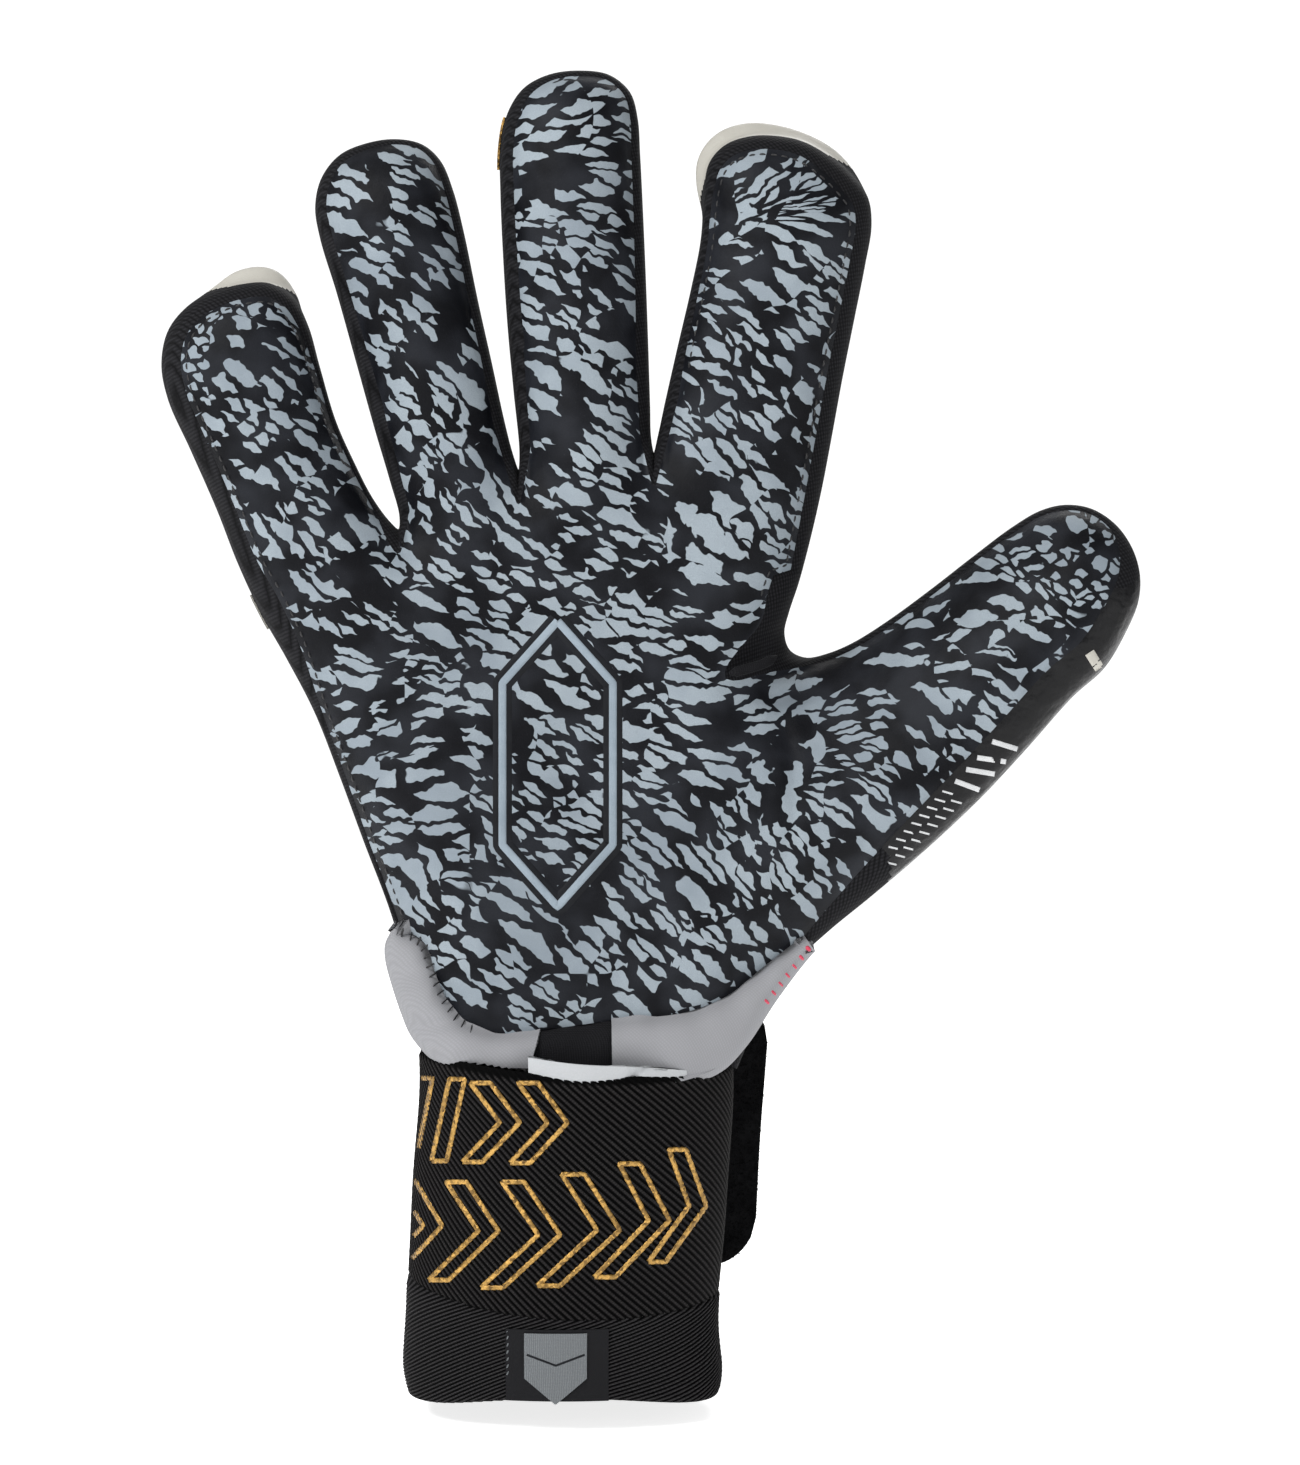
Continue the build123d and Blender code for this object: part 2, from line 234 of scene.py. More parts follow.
# X, Z, width of black edge seen on the palm side, and on the back of the hand. A negative last number
# lets the back panel stand out past the edge. From the wrist up the little finger's side and round.
OUTLINE = [
    # little finger's side of the hand, with the vent below that finger
    (-28.5, 70, 0.8, 3), (-31, 86, 0.8, 3), (-35.2, 102, 0.7, 3), (-41.2, 118, 0.8, 3), (-46, 131, 1, 3),
    (-51.5, 145, 1.6, 3), (-57.5, 156.5, 4.6, 2), (-62.6, 165.5, 6, 1.5), (-67.5, 176, 4.9, 1.5),
    # little finger
    (-72, 187.5, 4.7, 1.5), (-77.5, 200, 4.9, 1.5), (-82.2, 210.5, 5.2, 1.2), (-83.6, 218, 5.2, 1),
    (-82.2, 225, 5, 1), (-78.2, 230, 4.6, 0.8), (-73.2, 233, 4.4, -0.4), (-67, 234.8, 4, -2.9),
    (-61, 235, 3.8, -3), (-56.2, 232, 3.2, -0.9), (-53, 226, 2.2, 1.5), (-50.6, 217.5, 1, 3),
    (-47.2, 206, 0.7, 3), (-43.2, 197, 0.7, 3), (-39.6, 190, 0.8, 3), (-36, 185, 2.2, 3),
    # crotch, ring finger
    (-33.9, 183.2, 4.8, 3), (-33.6, 186, 4.6, 3), (-35.6, 193.5, 4.4, 3.2), (-38.7, 204, 3.9, 3.2),
    (-42.6, 218, 3.5, 3.2), (-46.8, 233, 3.2, 3.2), (-50.3, 244.5, 3.1, 3.2), (-51.3, 251, 2.7, 3),
    (-50, 257, 2.3, 3), (-46.2, 261.8, 1.8, 3), (-40.4, 264.3, 1.2, 2.6), (-34.4, 265.1, 0.9, 2.6),
    (-29, 264, 1, 3), (-25.2, 260.6, 1.4, 3), (-22.6, 254.5, 1.8, 3.2), (-20.4, 246, 2, 3.2),
    (-17.3, 231, 2.1, 3.2), (-14.4, 218, 2.3, 3.2), (-11.8, 206, 2.9, 3.2), (-10, 199, 4.2, 3.2),
    # crotch, middle finger
    (-8.7, 195.6, 7.2, 3), (-8.4, 199.5, 5.6, 3), (-9.6, 212, 4.4, 3.2), (-10.9, 226, 3.9, 3.2),
    (-11.8, 240, 3.6, 3.2), (-12.4, 254, 3.4, 3.2), (-12.4, 263, 3.2, 3), (-11, 270.4, 2.9, 3),
    (-7.6, 275.8, 2.2, 3), (-2.2, 278.7, 1.3, 2.6), (4.3, 279.5, 0.9, 2.6), (10.3, 278.6, 1, 2.8),
    (14.6, 275, 1.3, 3), (16.2, 269.5, 1.6, 3), (16.7, 262, 2, 3.2), (17.3, 250, 2.2, 3.2),
    (17.9, 236, 2.6, 3.2), (18.4, 222, 3, 3.2), (18.8, 209, 3.6, 3.2), (19, 202.5, 4.8, 3),
    # crotch, index finger
    (19.7, 199.2, 7.2, 3), (20.7, 203, 4.8, 3), (22.2, 210, 3.2, 3.2), (24.8, 221.5, 2.1, 3.2),
    (27.7, 234, 1.7, 3), (29.6, 243.5, 1.5, 1.8), (30.1, 249.5, 1.6, 0.2), (30.3, 255.5, 2.6, -1.6),
    (31.4, 260.4, 3.4, -2.5), (34.6, 264, 3.6, -2.9), (39.5, 265.8, 3.6, -2.8), (45, 266, 3.7, -2.2),
    (51, 264.8, 3.9, -1.6), (57, 261.4, 4.3, -1.6), (61.6, 257.2, 4.5, -0.6), (64.6, 252.8, 4.3, 0.8),
    (65.3, 247, 4.1, 2), (64, 239, 4.1, 2.5), (61.6, 227, 4.1, 3), (59.2, 215, 4.1, 3), (57, 203, 4.1, 3),
    (54.8, 191.5, 4, 3), (52.4, 181, 3.4, 3), (50, 172, 2.6, 3),
    # web, thumb
    (48, 166, 2.6, 3), (47, 161.5, 3.6, 3), (48.2, 157.8, 4.4, 3), (51.6, 156.2, 2.4, 3), (56, 157, 0.9, 3),
    (61.5, 159.3, 0.6, 3.2), (69, 164, 0.5, 3.4), (78, 170.6, 0.5, 3.4), (87, 177.6, 0.5, 3.4),
    (95, 183.6, 0.5, 3), (101, 187.1, 0.5, 2.6), (106.3, 188.3, 0.5, 2.2), (111.8, 187.4, 0.5, 2),
    (116.8, 184, 0.9, 1.6), (120.2, 179, 2.4, 1.2), (121.7, 173.5, 4.2, 0.8), (121.3, 168, 5.4, 0.8),
    (118.6, 161.5, 6.2, 0.8), (114.2, 154.2, 6.9, 0.8), (107.6, 148.2, 7.2, 0.8), (98, 137.4, 7.4, 0.8),
    (88.3, 127, 7.4, 0.8), (76.5, 115.9, 6.6, 0.8), (65.4, 106.4, 4.8, 1.2), (56.6, 99.2, 2.8, 2),
    # thumb's side of the wrist
    (50, 93, 1.4, 3), (43, 83.5, 1, 3), (37, 70, 0.8, 3),
]
# Lower edge of the palm latex, in X and Z, from the little finger's side to the thumb's side.
HEEL_EDGE = [
    (-34.6, 99.6), (-28.8, 96.4), (-26.2, 89.3), (-22.8, 82.5), (-18.6, 78.6), (-11.3, 77.4), (0, 78.6),
    (11.5, 80.2), (26.3, 81.8), (35, 85), (42.2, 90.5), (51.5, 97.6),
]

EDGE_STEP = 1.2


def sampled_outline():
    """The outline at steps that are closer where it turns."""
    dense = spline(OUTLINE)
    direction = np.gradient(dense[:, :2], axis=0)
    turning = np.abs(np.diff(np.unwrap(np.arctan2(direction[:, 1], direction[:, 0]))))
    arc = np.maximum(np.hypot(*np.diff(dense[:, :2], axis=0).T), 1e-6)
    return resample(dense, EDGE_STEP, 1 + np.minimum(turning / arc, 1.0) * (np.abs(dense[1:, 2]) * 0.6 + 1))


outline = sampled_outline()
edge = outline[:, :2]
edge_normal = side_normals(edge)
front_margin, back_margin = outline[:, 2], outline[:, 3]

# ---- shape of the hand through its thickness

# How far in from the silhouette a digit's or the palm's edge is rounded, and the power of its curve.
EDGE_ROUND = dict(zip(DIGITS, [(15, 2.3), (14, 2), (14.3, 2), (16, 2.4), (19, 2)]))
PALM_ROUND = (19.0, 2.0)
# Depth of the back of the hand at heights.
BACK_OF_HAND = np.array([(60, 22.0), (72, 22.0), (105, 21.0), (150, 20.5), (196, 12.5), (215, 12.0)])
# Swellings and the hollow of the palm: X, Z, spread and height.
PALM_BUMPS = [(54, 113, 17, 3.0), (-26, 118, 16, 1.8), (8, 140, 22, -2.2), (-2, 178, 20, 1.0)]
CREASE = 0.55  # depth of the groove at each seam
VIEW_X, VIEW_Z, VIEW_DISTANCE = 18.9, 140.6, 650.0  # where the camera is, in front of the Y = 0 plane


def shape_at(xz):
    """Edge rounding width and power, depth of front and back, and middle Y, at places in X and Z."""
    table = [EDGE_ROUND[n] + (BACK,) for n in DIGITS]
    share = np.zeros((len(xz), len(DIGITS)))
    for k, name in enumerate(DIGITS):
        across, along = digits[name].local(xz)
        share[:, k] = smooth(-16, 10, along) * np.exp(-((across / HALF_WIDTH[name]) ** 4) / 2)
    total = share.sum(1)
    share /= np.maximum(total, 1)[:, None]
    palm = 1 - share.sum(1)
    back = np.interp(xz[:, 1], BACK_OF_HAND[:, 0], BACK_OF_HAND[:, 1])
    mixed = share @ np.array(table, float)
    width = mixed[:, 0] + palm * PALM_ROUND[0]
    power = mixed[:, 1] + palm * PALM_ROUND[1]
    depth = mixed[:, 2] + palm * back
    across, along = digits["thumb"].local(xz)
    thumb = smooth(-18, 14, along) * smooth(-40, -24, across)
    middle = thumb * np.clip(digits["thumb"].mid_y(xz), -14, 13)
    return width, power, depth, middle


def rise(distance, width, power):
    """How far up its depth a surface is at a distance from the silhouette."""
    u = np.clip(distance / width, 0, 1)
    return np.maximum(1 - (1 - u) ** power, 0) ** (1 / power)


def true_place(verts):
    """Moves places along the lines of sight, so that what lies nearer or further keeps its outline."""
    out = np.array(verts, float)
    scale = 1 + out[:, 1] / VIEW_DISTANCE
    out[:, 0] = VIEW_X + (out[:, 0] - VIEW_X) * scale
    out[:, 2] = VIEW_Z + (out[:, 2] - VIEW_Z) * scale
    return out


# ---- gusset wall between front and back

def nearest(x, z):
    """Index of the outline sample nearest to a place."""
    return int(np.hypot(edge[:, 0] - x, edge[:, 1] - z).argmin())


FRONT_ROWS, BACK_ROWS = 5, 8


# The front seam by the thumb's web, where the wall shows as a wedge that points into the palm.
WEB_SEAM = [
    (45.2, 173.5), (43.9, 169.6), (42.6, 163.7), (38.2, 158.5), (34.9, 154), (34.9, 151.9), (37.4, 151.6),
    (43.4, 153.4), (51.5, 155), (55.5, 156),
]
WEB_COLUMNS = (nearest(50.4, 173.6), nearest(55.6, 156.8))
CROTCH_VEES = [(-33.9, 183.2, 4.6), (-8.7, 195.6, 6.8), (19.7, 199.2, 6.6)]


def front_reaches():
    """Steps in X and Z from the silhouette in to the front seam, which runs down in a V at each crotch."""
    margin = np.maximum(0.72 * front_margin - 0.2, 0.35)
    thumb = np.arange(len(edge)) > WEB_COLUMNS[1]
    margin = np.where(thumb, front_margin, margin)
    reach = edge_normal * margin[:, None]
    for x, z, depth in CROTCH_VEES:
        away = np.hypot(edge[:, 0] - x, edge[:, 1] - z)
        near = away < 26
        side = np.minimum(np.linalg.norm(reach, axis=1), 1.5 + 0.035 * away)
        reach[near] = (edge_normal * side[:, None])[near]
        share = 1 - smooth(0.4, 4.5, away)
        reach = reach * (1 - share[:, None]) + np.array([0.0, -depth]) * share[:, None]
    first, last = WEB_COLUMNS
    line = resample(spline(WEB_SEAM, 12), 0.25)
    share = np.linspace(0, len(line) - 1, last - first + 1).round().astype(int)
    reach[first : last + 1] = line[share] - edge[first : last + 1]
    return reach


def wall_rows():
    """Rows of places from the front seam through the silhouette to the back seam."""
    width, power, depth, _ = shape_at(edge)
    reach = front_reaches()
    margin = np.linalg.norm(reach, axis=1)
    low_back = np.maximum(back_margin, 0.9)
    overhang = low_back - back_margin
    angle_front = np.arccos(np.clip(1 - margin / width, 0, 1) ** (power / 2))
    angle_back = np.arccos(np.clip(1 - low_back / width, 0, 1) ** (power / 2))
    steps = [(-1 + k / (FRONT_ROWS - 1), 0) for k in range(FRONT_ROWS)]
    steps += [(0, k / (BACK_ROWS - 1)) for k in range(1, BACK_ROWS)]
    rows, total = [], len(steps) - 1
    for r, (front, back) in enumerate(steps):
        angle = front * angle_front + back * angle_back
        d = width * (1 - np.abs(np.cos(angle)) ** (2 / power))
        up = np.abs(np.sin(angle)) ** (2 / power) * np.where(angle < 0, -FRONT, depth)
        s = r / total
        puff = 0.15 * (4 * s * (1 - s)) ** 0.5 - CREASE * (np.exp(-s * 16) + np.exp(-(1 - s) * 16))
        xz = edge - edge_normal * (puff * np.cos(angle))[:, None]
        if front < 0:
            xz = xz + reach * (d / margin)[:, None]
        else:
            xz = xz + edge_normal * (d - overhang * float(smooth(0, 1, back)))[:, None]
        y = shape_at(xz)[3] + up + np.where(angle < 0, -1, 1) * puff * np.abs(np.sin(angle))
        rows.append(np.column_stack([xz[:, 0], y, xz[:, 1]]))
    return np.array(rows), overhang


wall, overhang = wall_rows()
back_edge = edge - edge_normal * overhang[:, None]


# ---- where the pieces part


CROTCHES = [nearest(x, z) for x, z, _ in CROTCH_VEES]
BASE_CUTS = {
    "little": (nearest(-65.5, 171.0), CROTCHES[0]),
    "ring": tuple(CROTCHES[:2]),
    "middle": tuple(CROTCHES[1:]),
    "index": (CROTCHES[2], nearest(53.5, 186.0)),
    "thumb": (nearest(48.2, 157.8), nearest(77.0, 116.4)),
}


def middle_cut(name):
    """The two outline samples where a digit's second length begins."""
    first, last = BASE_CUTS[name]
    _, along = digits[name].local(edge[first : last + 1])
    beyond = np.nonzero(along > SPLIT_AT[name])[0]
    return first + int(beyond[0]), first + int(beyond[-1])


MIDDLE_CUTS = {name: middle_cut(name) for name in DIGITS}
HEEL_ENDS = (nearest(-34.8, 99.6), nearest(52.6, 96.6))


# ---- front and back surfaces

GRID = 1.5
RINGS = (0.55, 1.3, 2.3)


def straight(a, b, step):
    """Places between two ends, without them."""
    count = max(1, int(np.hypot(*(b - a)) / step))
    return a + (b - a) * (np.arange(1, count) / count)[:, None]


def hex_grid(low, high, step):
    """Places on a grid of equal triangles over a box."""
    out = []
    for row, z in enumerate(np.arange(low[1], high[1], step * 0.866)):
        x = np.arange(low[0] + (row % 2) * step / 2, high[0], step)
        out.append(np.column_stack([x, np.full(len(x), z)]))
    return np.vstack(out)


def sheet_plan(side):
    """Places in X and Z of a whole side's vertices, its triangles, and its cuts between pieces."""
    seam = wall[0 if side < 0 else -1][:, [0, 2]]
    first, last = HEEL_ENDS if side < 0 else (0, len(edge) - 1)
    loop = seam[first : last + 1]
    if side < 0:
        lower = resample(spline([tuple(loop[-1])] + HEEL_EDGE[-2:0:-1] + [tuple(loop[0])]), EDGE_STEP)[1:-1]
    else:
        lower = straight(loop[-1], loop[0], EDGE_STEP)
    boundary = np.vstack([loop, lower])
    count = len(boundary)
    links = [(k, (k + 1) % count) for k in range(count)]
    points, cut_lines = [boundary], []
    for i, j in list(BASE_CUTS.values()) + list(MIDDLE_CUTS.values()):
        between = straight(seam[i], seam[j], EDGE_STEP)
        start = sum(len(p) for p in points)
        chain = [i - first] + list(range(start, start + len(between))) + [j - first]
        links += list(zip(chain[:-1], chain[1:]))
        points.append(between)
        cut_lines.append(np.vstack([seam[i], between, seam[j]]))
    normal = side_normals(boundary)
    free = [boundary + normal * ring for ring in RINGS]
    free.append(hex_grid(boundary.min(0), boundary.max(0), GRID))
    gap = []
    for k, group in enumerate(free):
        group = group[inside(group, boundary)]
        away, _ = distance_to(group, boundary, closed=True)
        least = RINGS[k] * 0.9 if k < len(RINGS) else RINGS[-1] + 0.75
        group = group[away > least]
        off = np.min([distance_to(group, line)[0] for line in cut_lines], axis=0)
        gap.append(group[off > (0.5 if k < len(RINGS) else GRID * 0.45)])
    everything = np.vstack(points + gap)
    found = geometry.delaunay_2d_cdt([Vector(p) for p in everything], links, [], 0, 1e-5)
    places = np.array([tuple(v) for v in found[0]])
    faces = np.array(found[2])
    faces = faces[inside(places[faces].mean(1), boundary)]
    origin = np.array([o[0] if o else -1 for o in found[3]])
    return places, faces, origin, boundary, first


def smooth_depths(places, depths, faces, fixed, rounds):
    """Evens out depths over a mesh, except at its fixed vertices, and keeps its slopes."""
    pairs = np.vstack([faces[:, [0, 1]], faces[:, [1, 2]], faces[:, [2, 0]]])
    pairs = np.vstack([pairs, pairs[:, ::-1]])
    degree = np.maximum(np.bincount(pairs[:, 0], minlength=len(depths)), 1)

    def around(values):
        return np.bincount(pairs[:, 0], weights=values[pairs[:, 1]], minlength=len(depths)) / degree

    normal = vertex_normals(np.column_stack([places[:, 0], depths, places[:, 1]]), faces)
    level = np.where(normal[:, 1] < 0, -1, 1) * np.maximum(np.abs(normal[:, 1]), 0.25)
    drift = sum(-normal[:, 2 * k] / level * (around(places[:, k]) - places[:, k]) for k in range(2))
    for _ in range(rounds):
        depths = np.where(fixed, depths, depths + (around(depths) - drift - depths) * 0.6)
    return depths


def wrinkles(xz, side):
    """Small unevenness of stuffed cloth and foam, with folds near the finger roots and the thumb."""
    x, z = xz[:, 0], xz[:, 1]
    swell = np.sin(x / 9.1 + z / 17 + side) * np.sin(z / 11.3 - x / 23) * 0.35
    swell += np.sin(x / 4.3 - z / 5.9 + 1.7) * np.sin(z / 6.7 + x / 7.7) * 0.12
    if side < 0:
        fold = np.exp(-(((x - 47 - 2.5 * np.sin(z / 9)) / 1.6) ** 2))
        swell -= 0.9 * (fold * smooth(104, 112, z) * smooth(152, 140, z))
        across, along = digits["thumb"].local(xz)
        for at, depth in ((16, 0.5), (43, 0.45)):
            fold = np.exp(-(((along - at - across * 0.12) / 1.5) ** 2))
            swell -= depth * fold * smooth(20, 8, np.abs(across))
    return swell


def sheet(side):
    """A whole side of the hand: vertices, triangles, normals and each triangle's piece."""
    places, faces, origin, boundary, first = sheet_plan(side)
    count = len(boundary)
    on_seam = (origin >= 0) & (origin < count)
    loop_length = (HEEL_ENDS[1] if side < 0 else len(edge) - 1) - first + 1
    width, power, depth, middle = shape_at(places)
    depth = np.full(len(places), FRONT) if side < 0 else depth
    away, _ = distance_to(places, edge if side < 0 else back_edge)
    y = middle + side * depth * rise(away, width, power)
    if side < 0:
        for x, z, spread, height in PALM_BUMPS:
            far = ((places - (x, z)) ** 2).sum(1)
            y -= height * np.exp(-far / (2 * spread**2)) * smooth(3, 16, away)
    y = smooth_depths(places, y, faces, on_seam, 12)
    y += side * wrinkles(places, side) * smooth(1, 7, away)
    verts = np.column_stack([places[:, 0], y, places[:, 1]])
    order = faces if side > 0 else faces[:, ::-1]
    # Triangles are wound so that their normals point out of the glove.
    test = vertex_normals(verts, order)
    if np.median(test[:, 1]) * side < 0:
        order = order[:, ::-1]
    normals = vertex_normals(verts, order)
    inner, _ = distance_to(places, boundary, closed=True)
    verts = verts - normals * (CREASE * np.exp(-inner / 0.9))[:, None]
    row = wall[0 if side < 0 else -1]
    for k in np.nonzero(on_seam)[0]:
        if origin[k] < loop_length:
            verts[k] = row[origin[k] + first]
    middle_of = places[order].mean(1)
    part = np.full(len(order), "hand", dtype=object)
    for length, cuts in (("_base", BASE_CUTS), ("_tip", MIDDLE_CUTS)):
        for name, (i, j) in cuts.items():
            part[inside(middle_of, row[i : j + 1, [0, 2]])] = name + length
    verts = true_place(verts)
    return verts, order, vertex_normals(verts, order), part


front_sheet = sheet(-1)
back_sheet = sheet(1)
wall_verts = true_place(wall.reshape(-1, 3))


# ---- materials


class Paint:
    """A material under construction, with short calls that add and join its nodes."""

    def __init__(self, name, **values):
        self.material = bpy.data.materials.new(name)
        self.material.use_nodes = True
        self.tree = self.material.node_tree
        self.shader = self.tree.nodes["Principled BSDF"]
        self.set(**values)

    def set(self, **values):
        """Sets or joins sockets of the shader, named with _ for each space."""
        for key, value in values.items():
            self.join(value, self.shader.inputs[key.replace("_", " ")])

    def join(self, value, socket):
        if isinstance(value, bpy.types.NodeSocket):
            self.tree.links.new(value, socket)
        else:
            colour = isinstance(value, tuple) and socket.type == "RGBA"
            socket.default_value = (*value, 1.0) if colour else value

    def node(self, kind, out=0, options=(), **inputs):
        node = self.tree.nodes.new("ShaderNode" + kind)
        for key, value in dict(options).items():
            setattr(node, key, value)
        for key, value in inputs.items():
            index = key.replace("_", " ")
            self.join(value, node.inputs[int(key[1:]) if key[0] == "i" and key[1:].isdigit() else index])
        return node.outputs[out]

    def place(self, name="rest"):
        """A place kept with each vertex, in millimetres, which stays with the cloth as it moves."""
        return self.node("Attribute", "Vector", {"attribute_name": name})

    def math(self, kind, a, b=0.0):
        return self.node("Math", 0, {"operation": kind}, i0=a, i1=b)

    def mul(self, a, b):
        return self.math("MULTIPLY", a, b)

    def add(self, a, b):
        return self.math("ADD", a, b)

    def less(self, a, b):
        return self.math("SUBTRACT", a, b)

    def vector(self, kind, a, b, out=0):
        return self.node("VectorMath", out, {"operation": kind}, i0=a, i1=b)

    def split(self, vector):
        """The X, Y and Z of a vector."""
        node = self.tree.nodes.new("ShaderNodeSeparateXYZ")
        self.join(vector, node.inputs[0])
        return node.outputs

    def sway(self, place, scale, detail):
        """Noise in three directions, about zero, that moves places to and fro."""
        return self.vector("SUBTRACT", self.noise(place, scale, detail, out="Color"), (0.5, 0.5, 0.5))

    def noise(self, place, scale, detail=2.0, rough=0.5, out="Fac"):
        return self.node("TexNoise", out, {}, Vector=place, Scale=scale, Detail=detail, Roughness=rough)

    def cells(self, place, feature="F1", out="Distance", scale=1.0, random=1.0, flat=False, power=0.0):
        """Voronoi cells; a power sets the measure of distance (1 makes diamonds, 2 circles)."""
        options = {"voronoi_dimensions": "2D" if flat else "3D", "feature": feature}
        inputs = {"Vector": place, "Scale": scale, "Randomness": random}
        if power:
            options["distance"], inputs["Exponent"] = "MINKOWSKI", power
        return self.node("TexVoronoi", out, options, **inputs)

    def step(self, value, low, high, to_low=0.0, to_high=1.0):
        """Smoothly maps a range of values to another."""
        options = {"interpolation_type": "SMOOTHSTEP"}
        return self.node("MapRange", 0, options, i0=value, i1=low, i2=high, i3=to_low, i4=to_high)

    def mix(self, share, a, b):
        node = self.tree.nodes.new("ShaderNodeMix")
        node.data_type = "RGBA"
        for value, index in ((share, 0), (a, 6), (b, 7)):
            self.join(value, node.inputs[index])
        return node.outputs[2]

    def bump(self, height, distance, strength=1.0, normal=None):
        """Surface relief, its distance in metres."""
        node = self.tree.nodes.new("ShaderNodeBump")
        self.join(height, node.inputs["Height"])
        node.inputs["Distance"].default_value = distance
        node.inputs["Strength"].default_value = strength
        if normal is not None:
            self.tree.links.new(normal, node.inputs["Normal"])
        return node.outputs["Normal"]


INK_DARK, INK_LIGHT = (0.0022, 0.0025, 0.0040), (0.320, 0.370, 0.410)


def latex_print():
    """Black grip latex printed with pointed light grey blotches, in patches that each run one way."""
    p = Paint("latex_print", Specular_IOR_Level=0.12)
    rest, flat, aim = p.place(), p.place("flat"), p.place("aim")
    loose = p.vector("ADD", flat, p.vector("MULTIPLY", p.sway(flat, 0.07, 2.0), (16.0, 16.0, 0.0)))
    patch = p.cells(loose, "F1", "Position", scale=0.036, flat=True)
    own = p.vector("MULTIPLY", p.cells(loose, "F1", "Color", scale=0.036, flat=True), (90.0, 90.0, 0.0))
    ragged = p.vector("ADD", flat, p.vector("MULTIPLY", p.sway(flat, 0.40, 1.0), (2.6, 2.6, 0.0)))
    offset = p.vector("SUBTRACT", ragged, patch)
    aim_x, aim_z, roundness = p.split(aim)
    cross = p.node("CombineXYZ", 0, {}, i0=p.mul(aim_z, -1.0), i1=aim_x)
    along = p.vector("DOT_PRODUCT", offset, aim, 1)
    across = p.vector("DOT_PRODUCT", offset, cross, 1)
    layers = []
    for long, wide, least, most in ((14.5, 4.0, 0.34, 0.585), (9.2, 2.7, 0.32, 0.555)):
        stretch = p.math("DIVIDE", along, p.step(roundness, 0.0, 1.0, long, wide * 1.25))
        cell = p.node("CombineXYZ", 0, {}, i0=stretch, i1=p.math("DIVIDE", across, wide))
        cell = p.vector("ADD", cell, own)
        gap = p.cells(cell, "DISTANCE_TO_EDGE", flat=True, random=0.85)
        spot = p.cells(cell, "F1", flat=True, random=0.85, power=1.25)
        size = p.node("SeparateColor", 0, {}, Color=p.cells(cell, "F1", "Color", flat=True, random=0.85))
        reach = p.less(p.step(size, 0.0, 1.0, least, most), spot)
        reach = p.math("MINIMUM", reach, p.less(gap, 0.11))
        layers.append(p.step(reach, -0.008, 0.012))
    choose = p.step(p.noise(flat, 0.055, 1.0), 0.4992, 0.5008)
    printed = p.node("Mix", 0, {"data_type": "FLOAT"}, i0=choose, i2=layers[0], i3=layers[1])
    fine = p.noise(rest, 7.0, 3.0, 0.7)
    broad = p.noise(rest, 0.05, 3.0, 0.6)
    speck = p.step(p.noise(rest, 3.4, 2.0, 0.8), 0.66, 0.74)
    light = p.mix(p.step(fine, 0.3, 0.75), tuple(0.74 * c for c in INK_LIGHT), INK_LIGHT)
    light = p.mix(p.mul(p.step(broad, 0.35, 0.7), 0.75), light, (0.185, 0.220, 0.255))
    dark = p.mix(p.step(p.noise(rest, 0.09, 2.0), 0.35, 0.7), INK_DARK, (0.014, 0.0155, 0.020))
    dark = p.mix(p.mul(speck, 0.16), dark, (0.09, 0.10, 0.12))
    rough = p.add(p.step(printed, 0.0, 1.0, 0.50, 0.62), p.mul(fine, 0.08))
    relief = p.bump(fine, 0.00006, 0.7)
    relief = p.bump(printed, 0.00005, 0.5, relief)
    relief = p.bump(p.noise(rest, 0.9, 3.0, 0.6), 0.00025, 0.35, relief)
    p.set(Base_Color=p.mix(printed, dark, light), Roughness=rough, Normal=relief)
    return p.material


def soft_latex(name, dark, light, rough, gloss=0.4, crinkle=0.0):
    """Plain grip latex or coated cloth with a fine skin, slow changes of tone and sometimes a crinkle."""
    p = Paint(name, Specular_IOR_Level=gloss)
    rest = p.place()
    broad, fine = p.noise(rest, 0.12, 3.0, 0.6), p.noise(rest, 4.5, 3.0, 0.7)
    tone = p.add(p.mul(broad, 0.6), p.mul(fine, 0.4))
    relief = p.bump(fine, 0.00006, 0.6)
    relief = p.bump(p.noise(rest, 0.6, 3.0, 0.6), 0.0004, 0.4, relief)
    if crinkle:
        relief = p.bump(p.noise(rest, 0.22, 2.0, 0.55), 0.0011, crinkle, relief)
    p.set(Base_Color=p.mix(p.step(tone, 0.3, 0.7), dark, light), Normal=relief)
    p.set(Roughness=p.step(fine, 0.2, 0.8, rough - 0.07, rough + 0.07))
    return p.material


